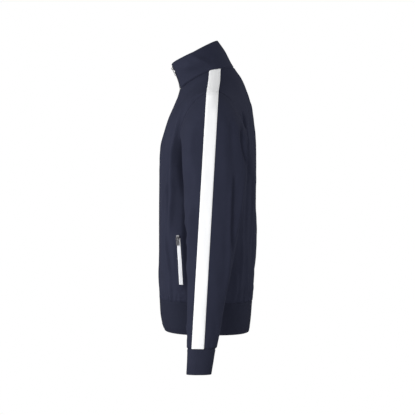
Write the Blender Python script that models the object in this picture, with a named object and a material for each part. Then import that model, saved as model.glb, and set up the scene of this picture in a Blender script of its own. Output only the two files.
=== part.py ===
"""A zip-up sweatshirt of the track-jacket kind, hollow and filled out as if it were worn.

It faces -Y, its wearer's left is +X, and the origin is the middle of the neck opening, level with the
collar seam at the sides of the neck. Every cloth piece is a closed wall: a grid of points on the garment's
outer surface, a second grid one cloth thickness inside it, and a rim that joins the two.

The body's surface is a stack of rings, each known by its level, the height at which it crosses the side.
A sleeve's surface is a fan of rings that starts at the armhole and turns down the arm.
Sizes are in millimetres, and MM turns them into Blender's metres where the meshes are made.
"""

import math
from collections import namedtuple

import bmesh
import bpy
import numpy as np

MM = 0.001

# ---------------------------------------------------------------- driving sizes, in mm

CLOTH = 1.6  # wall of the fronts, back and sleeves
DOUBLED = 2.8  # wall of the collar, hem band and cuffs, which are two layers
TAPE = 1.0  # stripes and zip tapes
SEAM_GAP = 0.3  # between pieces that are sewn to each other
LIFT = 0.7  # between a panel and what is sewn onto its face

NECK_LEVEL = 17.0  # where the collar seam crosses the shoulder seam
TIP_LEVEL = -46.0  # the shoulder point, at the top of the armhole
UNDERARM_LEVEL = -215.0
HEM_SEAM_LEVEL = -546.0

ZIP_GAP = 7.0  # from the centre line to a front's edge
CHAIN_HALF_WIDTH, CHAIN_RISE = 3.0, 1.3
CHAIN_TOP_LEVEL, CHAIN_FOOT_LEVEL = 51.0, -608.0
BOX_HALF_WIDTH, BOX_RISE, BOX_FOOT_LEVEL = 4.5, 1.8, -620.0
MAIN_SLIDER_LEVEL = 57.0
STRIPE_WIDTH = 27.0

ARMHOLE_TOP_Y, ARMHOLE_FOOT_Y = 12.0, 5.0
ARMHOLE_FORWARD, ARMHOLE_REARWARD = 73.0, 74.0  # how far the armhole bows either way

# ---------------------------------------------------------------- tables, in mm

# A ring crosses the side of the body at its level. From there it dips towards the front and the back:
# straight in the side view where dip is 1, and later but faster where dip is larger.
Section = namedtuple(
    "Section", "level front_z back_z front_y side_y back_y half_width square dip"
)
NECK_SEAM = Section(NECK_LEVEL, -24, 29, -67.5, 18, 66, 72, 2.00, 1.6)
HEM_SEAM = Section(HEM_SEAM_LEVEL, -545, -550, -118.5, 0, 111, 194, 2.50, 1.6)
BODY = [
    NECK_SEAM,
    Section(0, -43, 2, -73, 17, 84, 106, 2.03, 1.6),
    Section(-22, -70, -32, -83, 15, 99, 153, 2.07, 1.6),
    Section(TIP_LEVEL, -101, -72, -97, 12, 110, 204, 2.10, 1.6),
    Section(-62, -118, -90, -103, 11, 113, 219, 2.12, 1.6),
    Section(-85, -138, -114, -109, 10, 116, 230, 2.14, 1.6),
    Section(-130, -172, -154, -116, 8, 120, 224, 2.25, 1.6),
    Section(-175, -204, -193, -118, 6, 121.5, 203, 2.50, 1.6),
    Section(UNDERARM_LEVEL, -233, -226, -119, 5, 121.5, 193, 2.60, 1.6),
    Section(-265, -275, -271, -119.5, 4, 121.5, 198, 2.60, 1.6),
    Section(-340, -343, -342, -120, 3, 121, 203, 2.55, 1.6),
    Section(-430, -431, -431, -120, 2, 119, 203, 2.50, 1.6),
    Section(-500, -500, -501, -120, 1, 116, 200, 2.50, 1.6),
    HEM_SEAM,
]
HEM_BAND = [
    HEM_SEAM,
    Section(-582, -581, -586, -116.5, 0, 108.5, 191, 2.45, 1.6),
    Section(-606, -606, -609, -112.5, 0, 106, 188, 2.40, 1.6),
    Section(-622, -622, -625, -107, 0, 103.5, 184, 2.35, 1.6),
]
# The shoulder seam reaches further out than the rings' own ovals, to the shoulder point.
ShoulderPoint = namedtuple("ShoulderPoint", "level reach")
SHOULDER_SEAM = [
    ShoulderPoint(NECK_LEVEL, 72),
    ShoulderPoint(0, 108),
    ShoulderPoint(-22, 160),
    ShoulderPoint(TIP_LEVEL, 218),
]
COLLAR = [
    NECK_SEAM,
    Section(30, -9, 45, -71, 5, 57, 68, 2.05, 1.4),
    Section(46, 12, 70, -78.5, -14, 43.5, 63, 2.10, 1.2),
    Section(63, 37, 96, -90, -33, 26.5, 58, 2.15, 1.0),
]

# Each sleeve ring runs through an outer and an inner point of the arm, in X and Z, which share one Y,
# and through a foremost and a rearmost Y half-way between them.
Ring = namedtuple("Ring", "out_x out_z in_x in_z line_y front_y rear_y")
SLEEVE = [
    Ring(218, TIP_LEVEL, 193, UNDERARM_LEVEL, 8.5, -64, 83),
    Ring(243, -56, 201, -220, 12, -65, 88),
    Ring(266, -76, 207, -228, 14, -63, 91),
    Ring(283, -104, 211, -239, 15, -61, 93),
    Ring(294, -142, 214, -254, 16, -59, 93),
    Ring(300, -187, 217, -273, 16, -57, 90),
    Ring(304, -240, 221, -303, 15, -55, 87.5),
    Ring(308, -315, 228, -355, 11, -54, 77.5),
    Ring(312, -405, 237, -430, 6, -46.5, 63.5),
    Ring(316, -480, 245, -495, 2, -43.5, 49),
    Ring(320, -550, 254, -560, -5, -46.5, 37),
    Ring(322.5, -603, 261, -609, -10, -48, 29.5),
    Ring(323, -640, 267, -643, -14, -47, 20.5),
]
CUFF = [
    Ring(322, -640.5, 268.5, -643.5, -14, -46, 18.5),
    Ring(322, -669, 269, -672, -17, -47, 14),
    Ring(321, -699, 269.5, -701.5, -20, -48.5, 9),
]

# The largest folds: soft ridges (height over 0) and troughs (under 0) along a line of three points.
# On the body a point is (across, level), with across the distance from the centre line in the front view.
BodyFold = namedtuple("BodyFold", "face start middle end height width")
BODY_FOLDS = {
    1: [
        BodyFold("front", (112, -12), (156, -110), (158, -270), 4.5, 22),
        BodyFold("front", (156, -190), (156, -310), (166, -430), 3.5, 22),
        BodyFold("front", (186, -100), (182, -220), (190, -400), -6.0, 22),
        BodyFold("front", (60, -390), (118, -470), (158, -540), 3.5, 22),
        BodyFold("front", (150, -500), (176, -520), (192, -530), -3.0, 14),
        BodyFold("front", (62, -150), (66, -300), (58, -470), -2.5, 30),
        BodyFold("back", (176, -70), (168, -190), (150, -380), 3.5, 22),
        BodyFold("back", (120, -330), (116, -430), (128, -540), -3.0, 22),
        BodyFold("back", (168, -380), (174, -460), (176, -540), 2.5, 16),
    ],
    -1: [
        BodyFold("front", (116, -14), (152, -115), (160, -260), 4.5, 22),
        BodyFold("front", (156, -200), (160, -320), (160, -440), 3.5, 22),
        BodyFold("front", (186, -100), (183, -220), (189, -390), -6.0, 22),
        BodyFold("front", (52, -420), (104, -480), (150, -540), 3.5, 24),
        BodyFold("front", (70, -130), (60, -280), (66, -440), -2.5, 30),
        BodyFold("back", (178, -75), (164, -200), (156, -360), 3.5, 22),
        BodyFold("back", (100, -350), (108, -440), (112, -540), -3.0, 24),
        BodyFold("back", (160, -400), (168, -470), (178, -540), 2.5, 16),
    ],
}
# On a sleeve a point is (turn, height): degrees from the outer line towards the front (under 0) or the
# rear (over 0), and the height of the outer line there.
SleeveFold = namedtuple("SleeveFold", "start middle end height width")
SLEEVE_FOLDS = {
    1: [
        SleeveFold((34, -95), (44, -230), (64, -420), -4.0, 15),
        SleeveFold((62, -110), (70, -220), (88, -400), 3.0, 13),
        SleeveFold((-28, -300), (-58, -400), (-84, -560), 2.5, 13),
        SleeveFold((-60, -150), (-52, -250), (-40, -340), -2.0, 16),
        SleeveFold((150, -150), (165, -260), (150, -380), -4.0, 18),
        SleeveFold((-140, -330), (-160, -420), (175, -500), 3.0, 16),
        SleeveFold((100, -420), (60, -500), (30, -560), 2.0, 14),
    ],
    -1: [
        SleeveFold((30, -110), (46, -220), (60, -400), -4.0, 15),
        SleeveFold((60, -120), (74, -240), (84, -380), 3.0, 13),
        SleeveFold((-34, -280), (-54, -390), (-88, -540), 2.5, 13),
        SleeveFold((-58, -170), (-50, -260), (-44, -350), -2.0, 16),
        SleeveFold((148, -140), (160, -250), (156, -390), -4.0, 18),
        SleeveFold((-150, -350), (-165, -440), (170, -510), 3.0, 16),
        SleeveFold((96, -440), (64, -510), (36, -570), 2.0, 14),
    ],
}

# Pocket zips: the side view's Y and the level of both ends.
POCKET_TOP_Y, POCKET_TOP_LEVEL = -69.0, -383.0
POCKET_FOOT_Y, POCKET_FOOT_LEVEL = -61.5, -502.0
POCKET_ZIP_WIDTH = 10.0
POCKET_SLIDER_DOWN = 7.0  # from the zip's top end to the hinge line of its pull

# Zip slider and pull, about the hinge line of the pull.
SLIDER_LENGTH, SLIDER_WIDTH, SLIDER_THICK = 11.0, 8.4, 1.8
BAIL_RADIUS, BAIL_WIRE = 2.3, 0.6  # a half ring about the hinge line
EYE_INNER, EYE_OUTER = 2.6, 4.5
EYE_DROP = (EYE_INNER + EYE_OUTER) / 2  # the eye's upper bar lies on the hinge line
PULL_LENGTH, PULL_WIDTH, PULL_THICK = 20.0, 7.6, 1.2
PULL_CLEARANCE = 0.8  # enough for the eye's bar to turn over the slider

# ---------------------------------------------------------------- colours

Finish = namedtuple("Finish", "colour roughness metallic")
FINISHES = {
    "navy_cloth": Finish((0.024, 0.027, 0.045), 0.85, 0.0),
    "navy_band": Finish((0.021, 0.023, 0.038), 0.9, 0.0),
    "white_stripe": Finish((0.86, 0.87, 0.89), 0.75, 0.0),
    "dark_zip": Finish((0.015, 0.016, 0.022), 0.6, 0.0),
    "white_zip": Finish((0.78, 0.79, 0.82), 0.6, 0.0),
    "grey_metal": Finish((0.20, 0.20, 0.21), 0.35, 1.0),
}


def material(name):
    """The named material, made once."""
    if name in bpy.data.materials:
        return bpy.data.materials[name]
    made = bpy.data.materials.new(name)
    made.use_nodes = True
    shader = made.node_tree.nodes["Principled BSDF"]
    finish = FINISHES[name]
    shader.inputs["Base Color"].default_value = (*finish.colour, 1.0)
    shader.inputs["Roughness"].default_value = finish.roughness
    shader.inputs["Metallic"].default_value = finish.metallic
    return made


# ---------------------------------------------------------------- curves


def smooth_curve(at, values):
    """A smooth function through the values, which doesn't swing past them in between."""
    at, values = np.asarray(at, float), np.asarray(values, float)
    if at[0] > at[-1]:
        at, values = at[::-1], values[::-1]
    step = np.diff(at)
    slope = np.diff(values) / step
    tangent = np.zeros_like(values)
    tangent[0], tangent[-1] = slope[0], slope[-1]
    for i in range(1, len(at) - 1):
        if slope[i - 1] * slope[i] > 0:
            before, after = 2 * step[i] + step[i - 1], step[i] + 2 * step[i - 1]
            tangent[i] = (before + after) / (before / slope[i - 1] + after / slope[i])

    def curve(x):
        x = np.clip(x, at[0], at[-1])
        i = np.clip(np.searchsorted(at, x) - 1, 0, len(step) - 1)
        t = (x - at[i]) / step[i]
        return (
            (2 * t**3 - 3 * t**2 + 1) * values[i]
            + (t**3 - 2 * t**2 + t) * step[i] * tangent[i]
            + (3 * t**2 - 2 * t**3) * values[i + 1]
            + (t**3 - t**2) * step[i] * tangent[i + 1]
        )

    return curve


def table_curves(table, at):
    """One smooth curve for each column of a table, as functions of the positions at."""
    return {
        name: smooth_curve(at, [getattr(row, name) for row in table])
        for name in table[0]._fields
    }


def ease(x, low, high):
    """0 below low, 1 above high, and a smooth step between them."""
    t = np.clip((x - low) / (high - low), 0, 1)
    return t * t * (3 - 2 * t)


def bent_line(start, middle, end, count=24):
    """Points along the parabola that runs from start to end and passes through middle."""
    t = np.linspace(0, 1, count)[:, None]
    start, middle, end = (np.asarray(p, float) for p in (start, middle, end))
    pull = 2 * middle - (start + end) / 2
    return (1 - t) ** 2 * start + 2 * t * (1 - t) * pull + t**2 * end


def fold_push(points, lines):
    """How far each point is pushed out by folds, each a (line of points, height, width)."""
    push = np.zeros(points.shape[:-1])
    for line, height, width in lines:
        away = np.linalg.norm(points[..., None, :] - line, axis=-1)
        nearest = away.argmin(axis=-1)
        taper = np.sin(np.pi * (nearest + 0.5) / len(line))
        push += height * taper * np.exp(-((away.min(axis=-1) / width) ** 2))
    return push


# ---------------------------------------------------------------- surfaces

Sheet = namedtuple("Sheet", "points normals")  # each a grid: rows down it, and places along each row


def unit(vectors):
    return vectors / np.linalg.norm(vectors, axis=-1, keepdims=True)


def mirrored(sheet):
    """The sheet on the other side of the body."""
    return Sheet(*(grid * np.array([-1.0, 1.0, 1.0]) for grid in sheet))


def strip_sheet(points):
    """A narrow sheet whose normals are read from its own points."""
    down, across = np.gradient(points, axis=0), np.gradient(points, axis=1)
    return Sheet(points, unit(np.cross(down, across)))


class Surface:
    """A smooth surface. at(row, places) gives the points at these places along one of its rows."""

    ROW_STEP, PLACE_STEP = -1.0, 1.0  # a short way down, and a short way on towards the back

    def normal(self, row, places):
        down = self.at(row + self.ROW_STEP, places) - self.at(row - self.ROW_STEP, places)
        ahead = np.asarray(places) + self.PLACE_STEP
        behind = np.asarray(places) - self.PLACE_STEP
        return unit(np.cross(down, self.at(row, ahead) - self.at(row, behind)))

    def sheet(self, rows):
        """The sheet through these rows, each (row, places)."""
        points = np.array([self.at(row, places) for row, places in rows])
        return Sheet(points, np.array([self.normal(row, places) for row, places in rows]))


class RingStack(Surface):
    """Rings about the body, for the body itself, the hem band or the collar. A row is a level, and a place
    is a distance along the ring from centre front, over 0 on the +X side."""

    SAMPLES = 481
    SIDE_SHARE = 0.5  # of the reach to the front or back: the part of a ring that widens at the side

    def __init__(self, table):
        self.curves = table_curves(table, [row.level for row in table])

    def half_ring(self, level):
        """Points from centre front to centre back on the +X side, and the distance along them."""
        size = {name: float(curve(level)) for name, curve in self.curves.items()}
        turn = np.linspace(0, math.pi, self.SAMPLES)
        front = np.cos(turn) > 0
        share = np.abs(np.cos(turn)) ** (2 / size["square"])
        width = size["half_width"] + self.widening(level) * (1 - ease(share, 0, self.SIDE_SHARE))
        x = width * np.abs(np.sin(turn)) ** (2 / size["square"])
        reach_y = np.where(front, size["front_y"], size["back_y"]) - size["side_y"]
        reach_z = np.where(front, size["front_z"], size["back_z"]) - size["level"]
        y = size["side_y"] + reach_y * share
        z = level + reach_z * share ** size["dip"]
        points = np.stack([x, y, z], axis=1)
        steps = np.linalg.norm(np.diff(points, axis=0), axis=1)
        return points, np.concatenate([[0], np.cumsum(steps)])

    def widening(self, level):
        """How much further out the ring reaches at its side than its table says."""
        return 0.0

    def length(self, level):
        return float(self.half_ring(level)[1][-1])

    def place_at_x(self, level, x, back=False):
        """The place where the front half of the ring, or its back half, is x from the middle."""
        points, along = self.half_ring(level)
        half = self.SAMPLES // 2
        if back:
            return float(np.interp(-abs(x), -points[half:, 0], along[half:]))
        return float(np.interp(abs(x), points[:half, 0], along[:half])) * math.copysign(1, x)

    def place_at_y(self, level, y):
        points, along = self.half_ring(level)
        return float(np.interp(y, points[:, 1], along))

    def at(self, level, places):
        points, along = self.half_ring(level)
        places = np.asarray(places, float)
        beyond = np.abs(places) > along[-1]
        folded = np.where(beyond, 2 * along[-1] - np.abs(places), np.abs(places))
        found = np.stack([np.interp(folded, along, points[:, k]) for k in range(3)], axis=-1)
        found[..., 0] *= np.where((places < 0) ^ beyond, -1, 1)
        return found


class Body(RingStack):
    """The body with its folds, which fade out near the hem seam, the neck and the centre lines."""

    QUIET = 34.0

    def __init__(self):
        super().__init__(BODY)
        self.seam = table_curves(SHOULDER_SEAM, [row.level for row in SHOULDER_SEAM])["reach"]
        self.lines = []
        self.lines = [self.fold_line(side, fold) for side, folds in BODY_FOLDS.items() for fold in folds]

    def fold_line(self, side, fold):
        line = []
        for x, level in bent_line(fold.start, fold.middle, fold.end):
            line.append(self.at(level, self.place_at_x(level, x, back=fold.face == "back")))
        return np.array(line) * (side, 1, 1), fold.height, fold.width

    def widening(self, level):
        """The shoulder seam runs straight to the shoulder point, where the rest of the ring rounds off."""
        wanted = max(0.0, float(self.seam(level) - self.curves["half_width"](level)))
        return wanted * float(ease(level, 2 * TIP_LEVEL, TIP_LEVEL))

    def at(self, level, places):
        points = super().at(level, places)
        if not self.lines:
            return points
        half = self.length(level)
        folded = np.abs(places)
        folded = np.minimum(folded, np.abs(2 * half - folded))
        depth = (self.curves["back_y"](level) - self.curves["front_y"](level)) / 2
        width = self.curves["half_width"](level)
        out_x = points[..., 0] / width**2
        out_y = (points[..., 1] - self.curves["side_y"](level)) / depth**2
        out = unit(np.stack([out_x, out_y], axis=-1))
        calm = ease(level, HEM_SEAM_LEVEL, HEM_SEAM_LEVEL + self.QUIET)
        calm = calm * (1 - ease(level, NECK_LEVEL - self.QUIET, NECK_LEVEL))
        calm = calm * ease(np.minimum(folded, half - folded), ZIP_GAP, self.QUIET)
        points[..., :2] += out * (fold_push(points, self.lines) * calm)[..., None]
        return points


GARMENT = Body()


def armhole_y(turn):
    """Y of the armhole's edge at this turn: 0 at its top, under 0 on its front side, pi at its foot."""
    down = (1 - math.cos(turn)) / 2
    middle = ARMHOLE_TOP_Y + (ARMHOLE_FOOT_Y - ARMHOLE_TOP_Y) * down
    bow = ARMHOLE_FORWARD if math.sin(turn) < 0 else ARMHOLE_REARWARD
    return middle + bow * math.sin(turn)


def armhole_level(turn):
    return TIP_LEVEL - (TIP_LEVEL - UNDERARM_LEVEL) * (1 - math.cos(turn)) / 2


def panel_edge(level, front):
    """Y of a front's or the back's outer edge: shoulder seam, then armhole, then side seam."""
    down = (TIP_LEVEL - level) / (TIP_LEVEL - UNDERARM_LEVEL)
    if not 0 < down < 1:
        return float(GARMENT.curves["side_y"](level))
    turn = math.acos(1 - 2 * down)
    return armhole_y(-turn if front else turn)


# ---------------------------------------------------------------- the body's pieces

ARMHOLE_ROWS = 14  # the sleeve has twice as many points round it, so that the edges match
SHOULDER_LEVELS = np.linspace(NECK_LEVEL - SEAM_GAP / 2, TIP_LEVEL, 5)


def panel_levels():
    turns = np.linspace(0, math.pi, ARMHOLE_ROWS + 1)
    return np.concatenate(
        [
            SHOULDER_LEVELS[:-1],
            [armhole_level(turn) for turn in turns],
            np.linspace(UNDERARM_LEVEL, HEM_SEAM_LEVEL + SEAM_GAP / 2, 12)[1:],
        ]
    )


FLAT_SHARE = 0.55  # of a ring's half width: the flatter middle of the front or the back
FLAT_COLUMNS, ROUND_COLUMNS = 4, 9  # the rounded sides have closer columns


def front_sheet(side):
    """A front, with a row for each level that runs from the zip to the outer edge."""
    rows = []
    for level in panel_levels():
        bend = GARMENT.place_at_x(level, FLAT_SHARE * GARMENT.curves["half_width"](level))
        edge = GARMENT.place_at_y(level, panel_edge(level, front=True)) - SEAM_GAP / 2
        flat = np.linspace(GARMENT.place_at_x(level, ZIP_GAP), bend, FLAT_COLUMNS + 1)
        rows.append((level, side * np.append(flat[:-1], np.linspace(bend, edge, ROUND_COLUMNS + 1))))
    return GARMENT.sheet(rows)


def back_sheet():
    """The back, from the wearer's left edge to the right one."""
    rows = []
    for level in panel_levels():
        bend = GARMENT.place_at_x(level, FLAT_SHARE * GARMENT.curves["half_width"](level), back=True)
        edge = GARMENT.place_at_y(level, panel_edge(level, front=False)) + SEAM_GAP / 2
        flat = np.linspace(bend, GARMENT.length(level), FLAT_COLUMNS + 1)
        left = np.append(np.linspace(edge, bend, ROUND_COLUMNS + 1)[:-1], flat)
        right = 2 * GARMENT.length(level) - left[:-1][::-1]
        rows.append((level, np.append(left, right)))
    return GARMENT.sheet(rows)


def band_sheet(stack, levels, columns):
    """A band that runs right round from one side of the zip to the other."""
    rows = []
    for level in levels:
        first = stack.place_at_x(level, ZIP_GAP)
        last = 2 * stack.length(level) - first
        rows.append((level, np.linspace(first, last, columns + 1)))
    return stack.sheet(rows)


# ---------------------------------------------------------------- the sleeves' surface


class Arm(Surface):
    """A sleeve or a cuff. A row is an index in its table of rings, and a place is an angle in radians from
    the ring's outer point, under 0 towards the front and over 0 towards the rear."""

    ROW_STEP, PLACE_STEP = 0.04, 0.03
    JOIN = 4.0  # rings over which the armhole's own outline fades into plain ovals

    def __init__(self, table, side=None):
        self.curves = table_curves(table, range(len(table)))
        self.last = len(table) - 1
        self.side = side
        self.lines = []
        if side:
            self.lines = [self.fold_line(table, fold) for fold in SLEEVE_FOLDS[side]]

    def fold_line(self, table, fold):
        flat = bent_line(fold.start, fold.middle, fold.end)
        rings = np.interp(-flat[:, 1], [-row.out_z for row in table], range(len(table)))
        line = [self.at(ring, turn) for ring, turn in zip(rings, np.radians(flat[:, 0]))]
        return np.array(line), fold.height, fold.width

    def frame(self, ring):
        size = {name: float(curve(ring)) for name, curve in self.curves.items()}
        outer = np.array([size["out_x"], size["line_y"], size["out_z"]])
        inner = np.array([size["in_x"], size["line_y"], size["in_z"]])
        return size, (outer + inner) / 2, (outer - inner) / 2

    def oval(self, ring, turns):
        size, centre, outward = self.frame(ring)
        forward, rearward = size["line_y"] - size["front_y"], size["rear_y"] - size["line_y"]
        points = centre + np.cos(turns)[..., None] * outward
        points[..., 1] += np.sin(turns) * np.where(np.sin(turns) < 0, forward, rearward)
        return points

    def armhole(self, turns, look):
        """Points of the armhole's edge, or with another look, what the body says of them."""
        found = []
        for turn in np.atleast_1d(turns):
            level = armhole_level(turn)
            place = GARMENT.place_at_y(level, armhole_y(turn))
            found.append(look(level, self.side * place) * (self.side, 1, 1))
        return np.array(found).reshape(*np.shape(turns), 3)

    def at(self, ring, turns):
        turns = np.asarray(turns, float)
        points = self.oval(ring, turns)
        if self.side and ring < self.JOIN:
            own = self.armhole(turns, GARMENT.at) - self.oval(0, turns)
            points = points + own * (1 - ease(ring, 0, self.JOIN))
        if self.lines:
            out = unit(points - self.frame(ring)[1])
            calm = ease(ring, 0.3, 2.0) * (1 - ease(ring, self.last - 0.8, self.last))
            points = points + out * (fold_push(points, self.lines) * calm)[..., None]
        return points

    def turn_at_y(self, ring, y):
        """The turn on the outer half at which the ring has this Y."""
        turns = np.linspace(-math.pi / 2, math.pi / 2, 91)
        return np.interp(y, self.at(ring, turns)[:, 1], turns)


def sleeve_rings(arm):
    return np.concatenate([np.linspace(0, 6, 13), np.linspace(6, arm.last, 11)[1:]])


def sleeve_sheet(arm):
    turns = np.linspace(0, 2 * math.pi, 2 * ARMHOLE_ROWS, endpoint=False)
    turns = np.where(turns > math.pi, turns - 2 * math.pi, turns)
    points, normals = arm.sheet([(ring, turns) for ring in sleeve_rings(arm)])
    points[0] += unit(points[1] - points[0]) * 2 * SEAM_GAP
    normals[0] = unit(normals[1] + arm.armhole(turns, GARMENT.normal))
    return Sheet(points, normals)


def cuff_sheet(rows=4):
    arm = Arm(CUFF)
    turns = np.linspace(0, 2 * math.pi, 2 * ARMHOLE_ROWS, endpoint=False)
    return arm.sheet([(ring, turns) for ring in np.linspace(0, arm.last, rows)])


# ---------------------------------------------------------------- pieces sewn onto a panel


def stripe_middle_y(height):
    """Y of the stripe's middle on the sleeve, at this height."""
    return 14.5 + 0.057 * height


def across_stripe(middle, count):
    return np.linspace(middle - STRIPE_WIDTH / 2, middle + STRIPE_WIDTH / 2, count)


def sleeve_stripe_sheet(arm):
    rings = sleeve_rings(arm)
    rings[0], rings[-1] = 0.03, arm.last - 0.01
    rows = []
    for ring in rings:
        middle = stripe_middle_y(float(arm.curves["out_z"](ring)))
        rows.append((ring, arm.turn_at_y(ring, across_stripe(middle, 4))))
    return arm.sheet(rows)


def shoulder_stripe_sheet(side):
    rows = []
    for level in (NECK_LEVEL - 0.6, *SHOULDER_LEVELS[1:-1], TIP_LEVEL + 0.4):
        middle = float(GARMENT.curves["side_y"](level))
        places = [side * GARMENT.place_at_y(level, y) for y in across_stripe(middle, 5)]
        rows.append((level, places))
    return GARMENT.sheet(rows)


def pocket_spot(side, down):
    """(level, place) of the middle of a pocket zip at a distance down it."""
    share = down / (POCKET_TOP_LEVEL - POCKET_FOOT_LEVEL)
    y = POCKET_TOP_Y + share * (POCKET_FOOT_Y - POCKET_TOP_Y)
    level = POCKET_TOP_LEVEL - down
    return level, side * GARMENT.place_at_y(level, y)


def pocket_zip_sheet(side):
    rows = []
    for down in np.linspace(0, POCKET_TOP_LEVEL - POCKET_FOOT_LEVEL, 9):
        level, middle = pocket_spot(side, down)
        half = side * POCKET_ZIP_WIDTH / 2
        rows.append((level, np.linspace(middle - half, middle + half, 3)))
    return GARMENT.sheet(rows)


# ---------------------------------------------------------------- the front zip's line


def zip_rows():
    """(surface, level) of each row down the front zip, from the collar's top to the hem's edge. The second
    row is where the chain leaves the slider, and the last but one is where it enters the box."""
    collar, band = RingStack(COLLAR), RingStack(HEM_BAND)
    levels = np.concatenate([[COLLAR[-1].level], np.linspace(CHAIN_TOP_LEVEL, NECK_LEVEL, 5)])
    rows = [(collar, level) for level in levels]
    rows += [(GARMENT, level) for level in panel_levels()[2:-1:2]]
    levels = np.append(np.linspace(HEM_SEAM_LEVEL, CHAIN_FOOT_LEVEL, 4), HEM_BAND[-1].level)
    return rows + [(band, level) for level in levels]


def zip_strip(low_x, high_x, rows):
    """The strip between two distances from the centre line, down these rows."""
    grid = []
    for surface, level in rows:
        grid.append([surface.at(level, surface.place_at_x(level, x)) for x in (low_x, high_x)])
    return strip_sheet(np.array(grid))


# ---------------------------------------------------------------- meshes


def shell(name, sheet, thick, finish, around=False, lift=0.0):
    """A wall: its outer face is the sheet, moved out by lift, and its inner face lies thick inside it."""
    outer = sheet.points + sheet.normals * lift
    inner = outer - sheet.normals * thick
    rows, columns = outer.shape[:2]
    spans = columns if around else columns - 1
    faces = []

    def at(row, column, layer):
        return (layer * rows + row) * columns + column % columns

    for r in range(rows - 1):
        for c in range(spans):
            quad = [(r, c), (r + 1, c), (r + 1, c + 1), (r, c + 1)]
            faces.append([at(*corner, 0) for corner in quad])
            faces.append([at(*corner, 1) for corner in reversed(quad)])
    for r in (0, rows - 1):
        faces += [[at(r, c, 0), at(r, c + 1, 0), at(r, c + 1, 1), at(r, c, 1)] for c in range(spans)]
    for c in () if around else (0, columns - 1):
        faces += [[at(r, c, 0), at(r + 1, c, 0), at(r + 1, c, 1), at(r, c, 1)] for r in range(rows - 1)]
    points = np.concatenate([outer.reshape(-1, 3), inner.reshape(-1, 3)])
    made = bmesh.new()
    corners = [made.verts.new(point * MM) for point in points]
    for face in faces:
        made.faces.new([corners[k] for k in face])
    return add_object(name, made, finish, smooth=True)


def add_object(name, made, finish, smooth=False, origin=(0, 0, 0)):
    """An object from a bmesh, which it frees."""
    bmesh.ops.recalc_face_normals(made, faces=made.faces)
    mesh = bpy.data.meshes.new(name)
    made.to_mesh(mesh)
    made.free()
    mesh.materials.append(material(finish))
    if smooth:
        mesh.shade_smooth()
        mesh.set_sharp_from_angle(angle=math.radians(50))
    obj = bpy.data.objects.new(name, mesh)
    obj.location = np.asarray(origin) * MM
    bpy.context.scene.collection.objects.link(obj)
    return obj


# ---------------------------------------------------------------- hard pieces of a zip


class Seat:
    """A place on a zip: its hinge point, the zip's downward direction and the way out of the cloth."""

    def __init__(self, point, down, out):
        self.point = np.asarray(point, float)
        self.down = np.asarray(down, float) / np.linalg.norm(down)
        out = np.asarray(out, float)
        out = out - self.down * (out @ self.down)
        self.out = out / np.linalg.norm(out)
        self.across = np.cross(self.down, self.out)

    def place(self, across, down, out):
        return self.point + across * self.across + down * self.down + out * self.out


def plate(name, seat, outline, low, high, hole=(), origin=(0, 0, 0)):
    """A plate from low to high above the seat. Its outline and any hole are (across, down) points."""
    made = bmesh.new()
    edges = []
    for path in filter(len, (outline, hole)):
        ring = [made.verts.new((seat.place(a, d, low) - origin) * MM) for a, d in path]
        edges += [made.edges.new((ring[i - 1], ring[i])) for i in range(len(ring))]
    bmesh.ops.triangle_fill(made, edges=edges, use_beauty=True)
    raised = bmesh.ops.extrude_face_region(made, geom=list(made.faces), use_keep_orig=True)
    moved = [v for v in raised["geom"] if isinstance(v, bmesh.types.BMVert)]
    bmesh.ops.translate(made, verts=moved, vec=tuple(seat.out * (high - low) * MM))
    return add_object(name, made, "grey_metal", origin=origin)


def arc(centre_down, radius, first, last, count):
    """(across, down) points on an arc, with angles in degrees from the upward direction."""
    angles = np.radians(np.linspace(first, last, count))
    return [(radius * math.sin(a), centre_down - radius * math.cos(a)) for a in angles]


def slider(name, seat):
    """A slider's front plate, and the half-ring bail that holds the pull."""
    top = -PULL_THICK / 2 - PULL_CLEARANCE
    wide, narrow, end = SLIDER_WIDTH / 2, SLIDER_WIDTH / 2 - 1.2, SLIDER_LENGTH / 2
    outline = [(-wide, 1.5 - end), (1.6 - wide, -end), (wide - 1.6, -end), (wide, 1.5 - end)]
    outline += [(narrow, end), (-narrow, end)]
    made = plate(name, seat, outline, top - SLIDER_THICK, top)
    join = made.modifiers.new("bail", "BOOLEAN")
    join.operation, join.solver = "UNION", "EXACT"
    join.object = bail(f"{name}_bail", seat, top - SLIDER_THICK / 2)


def bail(name, seat, foot, sides=6, steps=9):
    """A half ring about the pull's hinge line, with straight feet down to the level foot."""
    angles = np.linspace(0, math.pi, steps)
    path = [(BAIL_RADIUS * math.cos(a), BAIL_RADIUS * math.sin(a)) for a in angles]
    path = np.array([(BAIL_RADIUS, foot), *path, (-BAIL_RADIUS, foot)])
    runs = np.gradient(path, axis=0)
    sideways = unit(np.stack([-runs[:, 1], runs[:, 0]], axis=1))
    made = bmesh.new()
    rings = []
    for (down, out), (side_down, side_out) in zip(path, sideways):
        ring = []
        for k in range(sides):
            across = BAIL_WIRE * math.cos(2 * math.pi * k / sides)
            off = BAIL_WIRE * math.sin(2 * math.pi * k / sides)
            spot = seat.place(across, down + side_down * off, out + side_out * off)
            ring.append(made.verts.new(spot * MM))
        rings.append(ring)
    for first, second in zip(rings, rings[1:]):
        for k in range(sides):
            made.faces.new([first[k - 1], first[k], second[k], second[k - 1]])
    made.faces.new(rings[0])
    made.faces.new(rings[-1])
    obj = add_object(name, made, "grey_metal")
    obj.hide_render = True
    obj.display_type = "WIRE"
    return obj


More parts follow.
